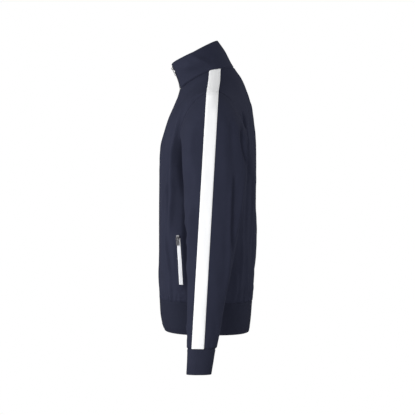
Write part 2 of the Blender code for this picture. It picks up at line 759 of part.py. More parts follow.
def pull(name, seat):
    """A pull tab, a round eye over the bail and a rounded tab below. Its origin is on its hinge line."""
    half, waist = PULL_WIDTH / 2, EYE_OUTER * math.sin(math.radians(30))
    neck = EYE_DROP + EYE_OUTER
    outline = arc(EYE_DROP, EYE_OUTER, -145, 145, 15)
    outline += [(waist, neck), (half, neck + 1.5)]
    outline += arc(PULL_LENGTH - half, half, 100, 260, 7)
    outline += [(-half, neck + 1.5), (-waist, neck)]
    hole = arc(EYE_DROP, EYE_INNER, 0, 330, 12)
    plate(name, seat, outline, -PULL_THICK / 2, PULL_THICK / 2, hole, origin=seat.point)


def surface_seat(here, below, beside, height):
    """A seat at height above a surface, from a point on it, one further down and one towards the left."""
    out = unit(np.cross(below - here, beside - here))
    return Seat(here + out * height, below - here, out)


def pocket_seat(side, height):
    level, place = pocket_spot(side, POCKET_SLIDER_DOWN)
    below = GARMENT.at(*pocket_spot(side, POCKET_SLIDER_DOWN + PULL_LENGTH))
    return surface_seat(GARMENT.at(level, place), below, GARMENT.at(level, place + 3), height)


# ---------------------------------------------------------------- the garment


def make_body():
    shell("front_left", front_sheet(1), CLOTH, "navy_cloth")
    shell("front_right", front_sheet(-1), CLOTH, "navy_cloth")
    shell("back", back_sheet(), CLOTH, "navy_cloth")


def make_bands():
    levels = np.linspace(COLLAR[-1].level, NECK_LEVEL + SEAM_GAP, 6)
    shell("collar", band_sheet(RingStack(COLLAR), levels, 36), DOUBLED, "navy_cloth")
    levels = np.linspace(HEM_SEAM_LEVEL - SEAM_GAP / 2, HEM_BAND[-1].level, 5)
    shell("hem_band", band_sheet(RingStack(HEM_BAND), levels, 44), DOUBLED, "navy_band")


def make_sleeves():
    for side, label in ((1, "left"), (-1, "right")):
        arm = Arm(SLEEVE, side)
        sleeve, cuff, stripe = sleeve_sheet(arm), cuff_sheet(), sleeve_stripe_sheet(arm)
        if side < 0:
            sleeve, cuff, stripe = mirrored(sleeve), mirrored(cuff), mirrored(stripe)
        shell(f"sleeve_{label}", sleeve, CLOTH, "navy_cloth", around=True)
        shell(f"cuff_{label}", cuff, DOUBLED, "navy_band", around=True)
        shell(f"stripe_sleeve_{label}", stripe, TAPE, "white_stripe", lift=LIFT + TAPE)
        shoulder = shoulder_stripe_sheet(side)
        shell(f"stripe_shoulder_{label}", shoulder, TAPE, "white_stripe", lift=LIFT + TAPE)


def make_pockets():
    tape_top = LIFT + TAPE
    height = tape_top + 2 * SEAM_GAP + SLIDER_THICK + PULL_CLEARANCE + PULL_THICK / 2
    for side, label in ((1, "left"), (-1, "right")):
        seat = pocket_seat(side, height)
        shell(f"pocket_zip_{label}", pocket_zip_sheet(side), TAPE, "white_zip", lift=tape_top)
        slider(f"pocket_slider_{label}", seat)
        pull(f"pocket_pull_{label}", seat)


def make_front_zip():
    rows = zip_rows()
    tape = zip_strip(SEAM_GAP / 2, ZIP_GAP - SEAM_GAP, rows)
    shell("zip_tape_left", tape, TAPE, "dark_zip", lift=-TAPE)
    shell("zip_tape_right", mirrored(tape), TAPE, "dark_zip", lift=-TAPE)
    chain = zip_strip(-CHAIN_HALF_WIDTH, CHAIN_HALF_WIDTH, rows[1:-1])
    sunk = SEAM_GAP - TAPE
    shell("zip_chain", chain, CHAIN_RISE - sunk, "dark_zip", lift=CHAIN_RISE)
    box_rows = [(rows[-1][0], level) for level in (CHAIN_FOOT_LEVEL - SEAM_GAP, BOX_FOOT_LEVEL)]
    box = zip_strip(-BOX_HALF_WIDTH, BOX_HALF_WIDTH, box_rows)
    shell("zip_box", box, BOX_RISE - sunk, "dark_zip", lift=BOX_RISE)
    collar = rows[0][0]
    here, below = (
        collar.at(level, 0.0) for level in (MAIN_SLIDER_LEVEL, MAIN_SLIDER_LEVEL - PULL_LENGTH)
    )
    height = sunk + SLIDER_THICK + PULL_CLEARANCE + PULL_THICK / 2
    seat = surface_seat(here, below, here + (3, 0, 0), height)
    slider("zip_slider", seat)
    pull("zip_pull", seat)


def main():
    for obj in list(bpy.data.objects):
        bpy.data.objects.remove(obj)
    make_body()
    make_bands()
    make_sleeves()
    make_pockets()
    make_front_zip()


main()
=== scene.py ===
"""The looks of a zip-up track jacket: thin cloth with its folds, seams and stitches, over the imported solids.

The jacket faces -Y and its wearer's left is +X. Sizes are in millimetres, and MM turns them into Blender's
metres. The body's surface is a stack of rings known by their level, the height at which a ring crosses the
side. A sleeve's surface is a fan of rings that starts at the armhole and turns down the arm.
"""

import math
from collections import namedtuple

import bmesh
import bpy
import numpy as np
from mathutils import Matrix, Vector


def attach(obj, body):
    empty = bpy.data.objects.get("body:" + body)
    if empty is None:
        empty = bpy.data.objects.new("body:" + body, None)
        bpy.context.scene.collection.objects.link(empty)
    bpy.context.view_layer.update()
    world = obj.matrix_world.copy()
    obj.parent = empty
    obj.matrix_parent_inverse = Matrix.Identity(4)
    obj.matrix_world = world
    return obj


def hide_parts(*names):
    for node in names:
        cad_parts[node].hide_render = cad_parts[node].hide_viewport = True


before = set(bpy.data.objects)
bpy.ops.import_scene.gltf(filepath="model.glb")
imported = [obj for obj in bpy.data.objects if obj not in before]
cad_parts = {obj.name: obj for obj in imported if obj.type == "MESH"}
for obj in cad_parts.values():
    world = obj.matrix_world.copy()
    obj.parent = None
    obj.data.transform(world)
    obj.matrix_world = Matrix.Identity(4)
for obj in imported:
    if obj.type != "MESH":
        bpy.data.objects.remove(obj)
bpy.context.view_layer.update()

MM = 0.001
SIDES = ((1, "left"), (-1, "right"))  # the sign of X on each of the wearer's sides


def rows_of(kind, *rows):
    """A table whose rows have kind's named columns."""
    return [kind(*row) for row in rows]


# ---------------------------------------------------------------- driving sizes, in mm

CLOTH, DOUBLED, TAPE = 1.5, 2.7, 0.9
NECK_LEVEL, TIP_LEVEL = 17.0, -46.0  # collar seam at the shoulder, and the shoulder point
UNDERARM_LEVEL, HEM_SEAM_LEVEL = -215.0, -546.0
ZIP_GAP = 7.0  # from the centre line to a front's edge
CHAIN_TOP_LEVEL, CHAIN_FOOT_LEVEL = 51.0, -608.0
STRIPE_WIDTH = 27.0
ARMHOLE_TOP_Y, ARMHOLE_FOOT_Y = 12.0, 5.0
ARMHOLE_FORWARD, ARMHOLE_REARWARD = 73.0, 74.0
POCKET_TOP_Y, POCKET_TOP_LEVEL = -69.0, -383.0
POCKET_FOOT_Y, POCKET_FOOT_LEVEL = -61.5, -502.0
POCKET_LENGTH = POCKET_TOP_LEVEL - POCKET_FOOT_LEVEL
POCKET_ZIP_WIDTH = 10.0
POCKET_BARE = 9.5  # the length of tape that the slider hides
TAPE_WIDTH, TAPE_TOP_LEVEL, TAPE_FOOT_LEVEL = 15.0, 61.0, -620.0
TOOTH_PITCH = 2.5

# ---------------------------------------------------------------- tables, in mm

SECTION_SIZES = "level front_z back_z front_y side_y back_y half_width square dip"
Section = namedtuple("Section", SECTION_SIZES, defaults=[1.6])
NECK_SEAM = Section(NECK_LEVEL, -24, 29, -67.5, 18, 66, 72, 2.00, 1.35)
HEM_SEAM = Section(HEM_SEAM_LEVEL, -545, -550, -118.5, 0, 111, 194, 2.50)
BODY = rows_of(
    Section,
    NECK_SEAM,
    (0, -43, 2, -73, 17, 84, 106, 2.03),
    (-22, -70, -32, -83, 15, 99, 153, 2.07),
    (TIP_LEVEL, -101, -72, -97, 12, 110, 204, 2.10),
    (-62, -118, -90, -103, 11, 113, 219, 2.12),
    (-85, -138, -114, -109, 10, 116, 230, 2.14),
    (-130, -172, -154, -116, 8, 120, 224, 2.25),
    (-175, -204, -193, -118, 6, 121.5, 203, 2.50),
    (UNDERARM_LEVEL, -233, -226, -119, 5, 121.5, 193, 2.60),
    (-265, -275, -271, -119.5, 4, 121.5, 198, 2.60),
    (-340, -343, -342, -120, 3, 121, 203, 2.55),
    (-430, -431, -431, -120, 2, 119, 203, 2.50),
    (-500, -500, -501, -120, 1, 116, 200, 2.50),
    HEM_SEAM,
)
HEM_BAND = rows_of(
    Section,
    HEM_SEAM,
    (-582, -581, -586, -116.5, 0, 108.5, 191, 2.45),
    (-606, -606, -609, -112.5, 0, 106, 188, 2.40),
    (-622, -622, -625, -107, 0, 103.5, 184, 2.35),
)
ShoulderPoint = namedtuple("ShoulderPoint", "level reach")
SHOULDER_SEAM = rows_of(
    ShoulderPoint,
    (NECK_LEVEL, 72),
    (0, 108),
    (-22, 160),
    (TIP_LEVEL, 218),
)
COLLAR = rows_of(
    Section,
    NECK_SEAM,
    (30, -9, 45, -71, 5, 57, 68, 2.05, 1.4),
    (46, 12, 70, -78.5, -14, 43.5, 63, 2.10, 1.2),
    (63, 37, 96, -90, -33, 26.5, 58, 2.15, 1.0),
)
Ring = namedtuple("Ring", "out_x out_z in_x in_z line_y front_y rear_y")
SLEEVE = rows_of(
    Ring,
    (218, TIP_LEVEL, 193, UNDERARM_LEVEL, 8.5, -64, 83),
    (243, -56, 201, -220, 12, -65, 88),
    (266, -76, 207, -228, 14, -63, 91),
    (283, -104, 211, -239, 15, -61, 93),
    (294, -142, 214, -254, 16, -59, 93),
    (300, -187, 217, -273, 16, -57, 90),
    (304, -240, 221, -303, 15, -55, 87.5),
    (308, -315, 228, -355, 11, -54, 77.5),
    (312, -405, 237, -430, 6, -46.5, 63.5),
    (316, -480, 245, -495, 2, -43.5, 49),
    (320, -550, 254, -560, -5, -46.5, 37),
    (322.5, -603, 261, -609, -10, -48, 29.5),
    (323, -640, 267, -643, -14, -47, 20.5),
)
CUFF = rows_of(
    Ring,
    (322, -640.5, 268.5, -643.5, -14, -46, 18.5),
    (322, -669, 269, -672, -17, -47, 14),
    (321, -699, 269.5, -701.5, -20, -48.5, 9),
)

# Large folds of the left side, 1, and the right, -1. A body's are placed by (distance from the centre line,
# level), and a sleeve's by (turn in degrees, height).
Fold = namedtuple("Fold", "start middle end height width face", defaults=["front"])
BODY_FOLDS = {
    1: rows_of(
        Fold,
        ((112, -12), (156, -110), (158, -270), 4.5, 22),
        ((156, -190), (156, -310), (166, -430), 3.5, 22),
        ((186, -100), (182, -220), (190, -400), -6.0, 22),
        ((60, -390), (118, -470), (158, -540), 3.5, 22),
        ((150, -500), (176, -520), (192, -530), -3.0, 14),
        ((62, -150), (66, -300), (58, -470), -2.5, 30),
        ((176, -70), (168, -190), (150, -380), 3.5, 22, "back"),
        ((120, -330), (116, -430), (128, -540), -3.0, 22, "back"),
        ((168, -380), (174, -460), (176, -540), 2.5, 16, "back"),
    ),
    -1: rows_of(
        Fold,
        ((116, -14), (152, -115), (160, -260), 4.5, 22),
        ((156, -200), (160, -320), (160, -440), 3.5, 22),
        ((186, -100), (183, -220), (189, -390), -6.0, 22),
        ((52, -420), (104, -480), (150, -540), 3.5, 24),
        ((70, -130), (60, -280), (66, -440), -2.5, 30),
        ((178, -75), (164, -200), (156, -360), 3.5, 22, "back"),
        ((100, -350), (108, -440), (112, -540), -3.0, 24, "back"),
        ((160, -400), (168, -470), (178, -540), 2.5, 16, "back"),
    ),
}
SLEEVE_FOLDS = {
    1: rows_of(
        Fold,
        ((34, -95), (44, -230), (64, -420), -4.0, 15),
        ((62, -110), (70, -220), (88, -400), 3.0, 13),
        ((-28, -300), (-58, -400), (-84, -560), 2.5, 13),
        ((-60, -150), (-52, -250), (-40, -340), -2.0, 16),
        ((150, -150), (165, -260), (150, -380), -4.0, 18),
        ((-140, -330), (-160, -420), (175, -500), 3.0, 16),
        ((100, -420), (60, -500), (30, -560), 2.0, 14),
    ),
    -1: rows_of(
        Fold,
        ((30, -110), (46, -220), (60, -400), -4.0, 15),
        ((60, -120), (74, -240), (84, -380), 3.0, 13),
        ((-34, -280), (-54, -390), (-88, -540), 2.5, 13),
        ((-58, -170), (-50, -260), (-44, -350), -2.0, 16),
        ((148, -140), (160, -250), (156, -390), -4.0, 18),
        ((-150, -350), (-165, -440), (170, -510), 3.0, 16),
        ((96, -440), (64, -510), (36, -570), 2.0, 14),
    ),
}

# Softer drape that only the cloth has, placed as the large folds are.
BODY_DRAPE = rows_of(
    Fold,
    ((170, -214), (124, -290), (82, -372), 2.4, 12),
    ((176, -262), (146, -338), (118, -430), -2.2, 12),
    ((70, -18), (94, -80), (104, -150), 1.8, 12),
    ((36, -60), (44, -130), (40, -210), 1.4, 12),
    ((44, -508), (100, -524), (160, -510), 2.4, 9),
    ((40, -476), (96, -494), (150, -478), -2.0, 9),
    ((24, -440), (36, -490), (58, -530), 1.6, 9),
    ((160, -110), (128, -210), (84, -320), 2.4, 14, "back"),
    ((120, -90), (92, -160), (50, -220), -1.8, 14, "back"),
    ((96, -12), (56, -44), (10, -58), 1.4, 10, "back"),
    ((30, -506), (92, -520), (158, -506), 2.6, 10, "back"),
    ((20, -466), (88, -484), (150, -468), -2.2, 10, "back"),
    ((60, -300), (44, -400), (56, -500), 2.0, 14, "back"),
)
SLEEVE_DRAPE = rows_of(
    Fold,
    ((-128, -318), (-82, -340), (-40, -322), 2.0, 8),
    ((-132, -345), (-86, -364), (-48, -352), -1.8, 8),
    ((-126, -372), (-84, -386), (-44, -376), 1.8, 8),
    ((-150, -280), (-110, -300), (-80, -290), 1.6, 9),
    ((100, -330), (136, -360), (170, -345), 1.8, 9),
    ((-130, -575), (-90, -588), (-56, -578), 1.6, 7),
    ((-140, -600), (-100, -612), (-60, -604), -1.2, 7),
    ((86, -590), (120, -602), (160, -594), 1.6, 7),
    ((96, -120), (124, -170), (150, -230), -2.6, 10),
    ((-104, -110), (-128, -170), (-150, -240), -2.6, 10),
)

# Finer folds, placed in the side view by (y, z).
BODY_SIDE_FOLDS = rows_of(
    Fold,
    ((-4, -46), (-36, -70), (-60, -122), 2.4, 9),
    ((-58, -80), (-79, -180), (-82, -290), 7.0, 7.5),
    ((-82, -240), (-83, -310), (-88, -385), 6.5, 6.5),
    ((-93, -215), (-94, -290), (-95, -355), -5.0, 5),
    ((-101, -330), (-96, -420), (-87, -500), 7.0, 6.5),
    ((-76, -400), (-76, -440), (-73, -500), -3.0, 5),
    ((-92, -488), (-87, -525), (-86, -546), 3.0, 5),
    ((-98, -120), (-104, -180), (-106, -250), 2.4, 8),
    ((-56, -135), (-60, -215), (-52, -305), -5.0, 9),
    ((-50, -290), (-45, -400), (-42, -525), -4.0, 9),
    ((-60, -142), (-66, -222), (-58, -305), -10.0, 5),
    ((-60, -285), (-54, -400), (-48, -530), -8.0, 4.5),
    ((84, -88), (91, -140), (97, -240), -8.0, 5.5),
    ((99, -170), (95, -300), (82, -440), -5.0, 7),
    ((66, -470), (67, -510), (64, -552), 3.4, 6),
    ((108, -190), (108, -320), (101, -470), 5.0, 7),
    ((88, -340), (82, -430), (76, -530), 4.0, 6),
    ((112, -330), (112, -420), (106, -520), -3.4, 6),
    ((98, -420), (96, -480), (98, -540), 3.0, 6),
    ((96, -60), (104, -110), (108, -180), 3.0, 8),
    ((-72, -513), (-64, -521), (-55, -513), -2.2, 3.5),
    ((-74, -529), (-64, -537), (-54, -530), -2.2, 3.5),
    ((-86, -549), (-86, -538), (-83, -526), 2.0, 3.2),
    ((-96, -549), (-95, -538), (-91, -526), 2.0, 3.2),
)
SLEEVE_SIDE_FOLDS = rows_of(
    Fold,
    ((-34, -300), (-41, -400), (-40, -500), 4.4, 7),
    ((67, -235), (59, -330), (54, -425), -8.0, 4.5),
    ((57, -240), (50, -400), (34, -560), 5.5, 6),
    ((84, -230), (72, -335), (54, -440), 5.5, 6),
    ((-30, -120), (-36, -180), (-34, -250), 2.4, 9),
    ((36, -110), (40, -200), (42, -300), 2.0, 9),
    ((79, -100), (81, -160), (90, -245), -9.0, 4.5),
    ((85, -110), (89, -165), (89, -225), 3.5, 4),
    ((52, -95), (57, -142), (60, -195), -2.8, 8),
    ((58, -117), (66, -127), (73, -138), 2.2, 5),
    ((-44, -520), (-36, -560), (-40, -610), 2.4, 6),
    ((20, -560), (24, -590), (18, -625), 2.4, 6),
)
COLLAR_SIDE_FOLDS = rows_of(
    Fold,
    ((-50, 56), (-21, 44), (8, 30), 3.6, 7),
    ((-74, 24), (-34, 30), (6, 38), 5.0, 12),
)

# Gentle swells in the cloth: about how high, and how far apart.
Swell = namedtuple("Swell", "height length seed")
BODY_SWELLS = rows_of(Swell, (1.3, 80, 3), (0.35, 34, 4))
BAND_SWELLS = rows_of(Swell, (0.35, 45, 8))
SLEEVE_SWELLS = {
    1: rows_of(Swell, (1.0, 70, 12), (0.3, 30, 16)),
    -1: rows_of(Swell, (1.0, 70, 10), (0.3, 30, 14)),
}

# How a piece of cloth is made up. lift is how far its outer face stands off the surface it is drawn on.
Make = namedtuple("Make", "cloth slot thread thick lift")
PANEL = Make("navy_knit", "navy_cloth", "navy_thread", CLOTH, 0.0)
STAND = PANEL._replace(thick=DOUBLED)
BAND = Make("navy_band_knit", "navy_band", "navy_thread", DOUBLED, 0.0)
WRIST = BAND._replace(cloth="navy_cuff_knit")
STRIPE = Make("white_knit", "white_stripe", "white_thread", TAPE, 1.1)
POCKET_TAPE = Make("white_tape", "white_zip", None, TAPE, 1.6)
ZIP_TAPE = Make("dark_tape", "dark_zip", None, TAPE, -CLOTH - 0.2)

# Each piece: its flat cut in metres and square metres, as measured on the finished cloth, and its rows of
# stitches, each a border and the distance from it.
Piece = namedtuple("Piece", "make width length area rows")
ABOVE_HEM, BESIDE_ZIP = [("foot", 2.6), ("foot", 5.0)], [("first", 5.5), ("last", 5.5)]
STRIPE_EDGES = [("first", 1.8), ("last", 1.8)]
PIECES = {
    "front": Piece(PANEL, 0.274, 0.740, 0.142, [BESIDE_ZIP[0], *ABOVE_HEM]),
    "back": Piece(PANEL, 0.541, 0.750, 0.285, ABOVE_HEM),
    "collar": Piece(STAND, 0.441, 0.078, 0.029, [("foot", 2.5), *BESIDE_ZIP]),
    "hem_band": Piece(BAND, 1.009, 0.079, 0.078, [("foot", 7.0), ("foot", 9.4), *BESIDE_ZIP]),
    "sleeve": Piece(PANEL, 0.508, 0.632, 0.181, ABOVE_HEM[:1]),
    "cuff": Piece(WRIST, 0.186, 0.059, 0.0108, [("foot", 5.0), ("foot", 7.4)]),
    "stripe_shoulder": Piece(STRIPE, 0.029, 0.160, 0.0046, STRIPE_EDGES),
    "stripe_sleeve": Piece(STRIPE, 0.029, 0.632, 0.0182, STRIPE_EDGES),
    "pocket_zip": Piece(POCKET_TAPE, 0.010, 0.109, 0.00108, []),
    "zip_tape": Piece(ZIP_TAPE, 0.015, 0.669, 0.0100, []),
}

# ---------------------------------------------------------------- curves

TINY = 1e-9
FADED = 2.6  # widths from its line at which a fold has faded out
SWELL_WAVES, SWELL_SUM = 7, 2.6  # so many waves add up to about this height
UPRIGHT = (1.0, 1.0, 0.45)  # swells run mostly upright
WAVE_SPREAD = (0.6, 1.5)  # the fewest and the most waves, as shares of their usual number


def smooth_curve(at, values):
    """A smooth function through the values, which doesn't swing past them in between."""
    at, values = np.asarray(at, float), np.asarray(values, float)
    if at[0] > at[-1]:
        at, values = at[::-1], values[::-1]
    step = np.diff(at)
    slope = np.diff(values) / step
    tangent = np.zeros_like(values)
    tangent[0], tangent[-1] = slope[0], slope[-1]
    for i in range(1, len(at) - 1):
        if slope[i - 1] * slope[i] > 0:
            before, after = 2 * step[i] + step[i - 1], step[i] + 2 * step[i - 1]
            tangent[i] = (before + after) / (before / slope[i - 1] + after / slope[i])

    def curve(x):
        x = np.clip(x, at[0], at[-1])
        i = np.clip(np.searchsorted(at, x) - 1, 0, len(step) - 1)
        t = (x - at[i]) / step[i]
        bow = t * (1 - t) * step[i] * ((1 - t) * tangent[i] - t * tangent[i + 1])
        return values[i] + (3 - 2 * t) * t**2 * (values[i + 1] - values[i]) + bow

    return curve


def table_curves(table, at):
    """A smooth curve down each column of a table, whose rows lie at these spots."""
    return {name: smooth_curve(at, [getattr(row, name) for row in table]) for name in table[0]._fields}


def row_at(kind, curves, spot):
    """The row that a table's curves give at this spot."""
    return kind(*(float(curve(spot)) for curve in curves.values()))


def ease(x, low, high):
    """0 below low, 1 above high, and a smooth step between them."""
    t = np.clip((x - low) / (high - low), 0, 1)
    return t * t * (3 - 2 * t)


def within(x, low, high, low_fade, high_fade):
    """0 outside low and high, 1 inside them, and a smooth step at each, as wide as its fade."""
    return ease(x, low, low + low_fade) * (1 - ease(x, high - high_fade, high))


def unit(vectors):
    return vectors / np.linalg.norm(vectors, axis=-1, keepdims=True)


def distances(points):
    """How far each point of a line, or of each column of a grid, is along it."""
    steps = np.linalg.norm(np.diff(points, axis=0), axis=-1)
    return np.concatenate([np.zeros_like(steps[:1]), np.cumsum(steps, axis=0)])


def looked_up(spots, along, points):
    """The points at these spots on a line, whose own points lie this far along it."""
    return np.stack([np.interp(spots, along, points[:, k]) for k in range(3)], axis=-1)


def evenly(low, high, apart):
    """Numbers from low to high, about this far apart."""
    return np.linspace(low, high, max(2, round(abs(high - low) / apart) + 1))


def bent_line(fold, count=24):
    """Points along the parabola that runs from a fold's start to its end and passes through its middle."""
    t = np.linspace(0, 1, count)[:, None]
    start, middle, end = (np.asarray(spot, float) for spot in (fold.start, fold.middle, fold.end))
    pull = 2 * middle - (start + end) / 2
    return (1 - t) ** 2 * start + 2 * t * (1 - t) * pull + t**2 * end


def fold_push(points, lines):
    """How far each point is pushed out by folds, each a (line of points, height, width)."""
    push = np.zeros(points.shape[:-1])
    for line, height, width in lines:
        low, high = line.min(axis=0) - FADED * width, line.max(axis=0) + FADED * width
        near = ((points > low) & (points < high)).all(axis=-1)
        if not near.any():
            continue
        run = np.diff(line, axis=0)
        offset = points[near][:, None, :] - line[:-1]
        share = np.clip((offset * run).sum(axis=-1) / np.maximum((run**2).sum(axis=-1), TINY), 0, 1)
        away = np.linalg.norm(offset - share[..., None] * run, axis=-1)
        closest = away.argmin(axis=-1)[:, None]
        along = (closest + np.take_along_axis(share, closest, axis=1))[:, 0] / len(run)
        away = np.take_along_axis(away, closest, axis=1)[:, 0]
        push[near] += height * np.sin(np.pi * along) * relief(away, (1.0, 0.0, width))
    return push


def relief(away, *ridges):
    """The height of smooth ridges, each a (height, how far away it runs, width)."""
    return sum(height * np.exp(-(((away - at) / width) ** 2)) for height, at, width in ridges)


def mirrored(lines, sign=-1):
    return [(line * (sign, 1, 1), height, width) for line, height, width in lines]


def swells(points, table):
    """How far each point is pushed out by gentle swells."""
    total = 0
    for swell in table:
        random = np.random.default_rng(swell.seed)
        waves = np.zeros(points.shape[:-1])
        for _ in range(SWELL_WAVES):
            way = random.normal(size=3) * UPRIGHT
            way *= 2 * math.pi / swell.length / np.linalg.norm(way) * random.uniform(*WAVE_SPREAD)
            waves += np.sin(points @ way + random.uniform(0, 2 * math.pi))
        total = total + swell.height * waves / SWELL_SUM
    return total


def wander(share, waves, seed):
    """A wavering curve, mostly within 1 of 0, that joins up where share is 0 and 1."""
    random = np.random.default_rng(seed)
    fewest, most = (round(spread * waves) for spread in WAVE_SPREAD)
    counts = range(max(1, fewest), most + 2)
    total = np.zeros(np.shape(share))
    for count in counts:
        total += random.normal() * np.sin(2 * math.pi * (count * share + random.random()))
    return total / math.sqrt(len(counts))


# ---------------------------------------------------------------- surfaces


class Surface:
    """A smooth surface. at(row, places) gives the points at these places along one of its rows."""

    HALVINGS = 30
    LINE_POINTS = 12
    SHIFT, UNEVEN = (4, 8), 0.2  # by how much, in place and height, the right side's folds differ
    lines = []

    def side_spot(self, y, z):
        """The row, and the place on its +X half, that the side view shows at (y, z)."""
        top, foot = self.span
        for _ in range(self.HALVINGS):
            row = (top + foot) / 2
            points, places = self.half_row(row)
            if np.interp(y, points[:, 1], points[:, 2]) > z:
                top = row
            else:
                foot = row
        return row, np.interp(y, points[:, 1], places)

    def side_point(self, y, z):
        return self.at(*self.side_spot(y, z))

    def side_lines(self, folds, vary):
        """Lines of points for folds that are placed in the side view. vary, from 0 to 1, shifts each of them
        a little, by an amount that only its place in the table decides."""
        lines = []
        for k, fold in enumerate(folds):
            shift = np.array(self.SHIFT) * (math.sin(2.1 * k + 1), math.cos(1.7 * k))
            flat = bent_line(fold, self.LINE_POINTS) + shift * vary
            line = np.array([self.side_point(y, z) for y, z in flat])
            lines.append((line, fold.height * (1 + self.UNEVEN * vary * math.sin(3 * k)), fold.width))
        return lines


class RingStack(Surface):
    """Rings about the body. A row is a level, and a place is a distance along the ring from centre front,
    over 0 on the +X side."""

    SAMPLES = 481
    SIDE_SHARE = 0.5  # the share of its reach to front and back over which a ring widens

    def __init__(self, table, side_folds=()):
        levels = [row.level for row in table]
        self.curves = table_curves(table, levels)
        self.span = max(levels), min(levels)
        self.known = {}
        for vary, (sign, _) in enumerate(SIDES):
            self.lines = self.lines + mirrored(self.side_lines(side_folds, vary), sign)

    def half_row(self, level):
        """Points from centre front to centre back on the +X side, and the distance along them."""
        key = round(float(level), 4)
        if key not in self.known:
            size = row_at(Section, self.curves, level)
            turn = np.linspace(0, math.pi, self.SAMPLES)
            front = np.cos(turn) > 0
            share = np.abs(np.cos(turn)) ** (2 / size.square)
            width = size.half_width + self.widening(level) * (1 - ease(share, 0, self.SIDE_SHARE))
            x = width * np.abs(np.sin(turn)) ** (2 / size.square)
            y = size.side_y + (np.where(front, size.front_y, size.back_y) - size.side_y) * share
            reach_z = np.where(front, size.front_z, size.back_z) - size.level
            points = np.stack([x, y, level + reach_z * share**size.dip], axis=1)
            self.known[key] = points, distances(points)
        return self.known[key]

    def widening(self, level):
        return 0.0

    def length(self, level):
        return float(self.half_row(level)[1][-1])

    def place_at_x(self, level, x, face="front"):
        """The place on a ring's front or back half that is x from the middle."""
        points, along = self.half_row(level)
        half = self.SAMPLES // 2
        if face == "back":
            return float(np.interp(-x, -points[half:, 0], along[half:]))
        return float(np.interp(x, points[:half, 0], along[:half]))

    def place_at_y(self, level, y):
        points, along = self.half_row(level)
        return float(np.interp(y, points[:, 1], along))

    def at(self, level, places):
        points, along = self.half_row(level)
        places = np.asarray(places, float)
        beyond = np.abs(places) > along[-1]
        found = looked_up(np.where(beyond, 2 * along[-1] - np.abs(places), np.abs(places)), along, points)
        found[..., 0] *= np.where((places < 0) ^ beyond, -1, 1)
        if not self.lines:
            return found
        return found + self.outward(level, found) * self.push(level, places, found)[..., None]

    def outward(self, level, points):
        """Unit vectors that point level and straight out of the ring's oval."""
        size = row_at(Section, self.curves, level)
        out = np.zeros(points.shape)
        out[..., 0] = points[..., 0] / size.half_width**2
        out[..., 1] = (points[..., 1] - size.side_y) / ((size.back_y - size.front_y) / 2) ** 2
        return unit(out)

    def push(self, level, places, points):
        return fold_push(points, self.lines) + swells(points, BAND_SWELLS)


class Body(RingStack):
    """The body with its folds, which fade out near the hem seam, the neck and the centre lines."""

    QUIET = 34.0
    HEM_QUIET, NECK_QUIET = 12.0, 16.0  # the same for the finer folds
    RIGHT_SCALE = 1.12  # on the right, the drape lies this much further out and is as much flatter

    def __init__(self):
        super().__init__(BODY)
        self.seam = table_curves(SHOULDER_SEAM, [row.level for row in SHOULDER_SEAM])["reach"]
        large = [self.fold_line(fold, side) for side, folds in BODY_FOLDS.items() for fold in folds]
        fine = self.side_lines(BODY_SIDE_FOLDS, 0) + mirrored(self.side_lines(BODY_SIDE_FOLDS, 1))
        for side, scale in ((1, 1.0), (-1, self.RIGHT_SCALE)):
            fine += [self.fold_line(fold, side, scale) for fold in BODY_DRAPE]
        self.lines, self.fine = large, fine

    def fold_line(self, fold, side, scale=1.0):
        line = []
        for x, level in bent_line(fold):
            line.append(self.at(level, self.place_at_x(level, x * scale, fold.face)))
        return np.array(line) * (side, 1, 1), fold.height / scale, fold.width

    def widening(self, level):
        wanted = max(0.0, float(self.seam(level) - self.curves["half_width"](level)))
        return wanted * float(ease(level, 2 * TIP_LEVEL, TIP_LEVEL))

    def push(self, level, places, points):
        half = self.length(level)
        folded = np.abs(places)
        folded = np.minimum(folded, np.abs(2 * half - folded))
        calm = within(level, HEM_SEAM_LEVEL, NECK_LEVEL, self.QUIET, self.QUIET)
        calm = calm * ease(np.minimum(folded, half - folded), ZIP_GAP, self.QUIET)
        fine_calm = within(level, HEM_SEAM_LEVEL, NECK_LEVEL, self.HEM_QUIET, self.NECK_QUIET)
        fine_calm = fine_calm * ease(folded, ZIP_GAP, self.QUIET)
        fine = fold_push(points, self.fine) + swells(points, BODY_SWELLS)
        return calm * fold_push(points, self.lines) + fine_calm * fine


def armhole_y(turn):
    """Y of the armhole's edge at this turn: 0 at its top, under 0 on its front side, pi at its foot."""
    down = (1 - math.cos(turn)) / 2
    bow = ARMHOLE_FORWARD if math.sin(turn) < 0 else ARMHOLE_REARWARD
    return ARMHOLE_TOP_Y + (ARMHOLE_FOOT_Y - ARMHOLE_TOP_Y) * down + bow * math.sin(turn)


def armhole_level(turn):
    return TIP_LEVEL - (TIP_LEVEL - UNDERARM_LEVEL) * (1 - math.cos(turn)) / 2


def edge_place(level, face):
    """The place of the front's or the back's outer edge: shoulder seam, then armhole, then side seam."""
    down = (TIP_LEVEL - level) / (TIP_LEVEL - UNDERARM_LEVEL)
    y = float(GARMENT.curves["side_y"](level))
    if 0 < down < 1:
        turn = math.acos(1 - 2 * down)
        y = armhole_y(-turn if face == "front" else turn)
    return GARMENT.place_at_y(level, y)


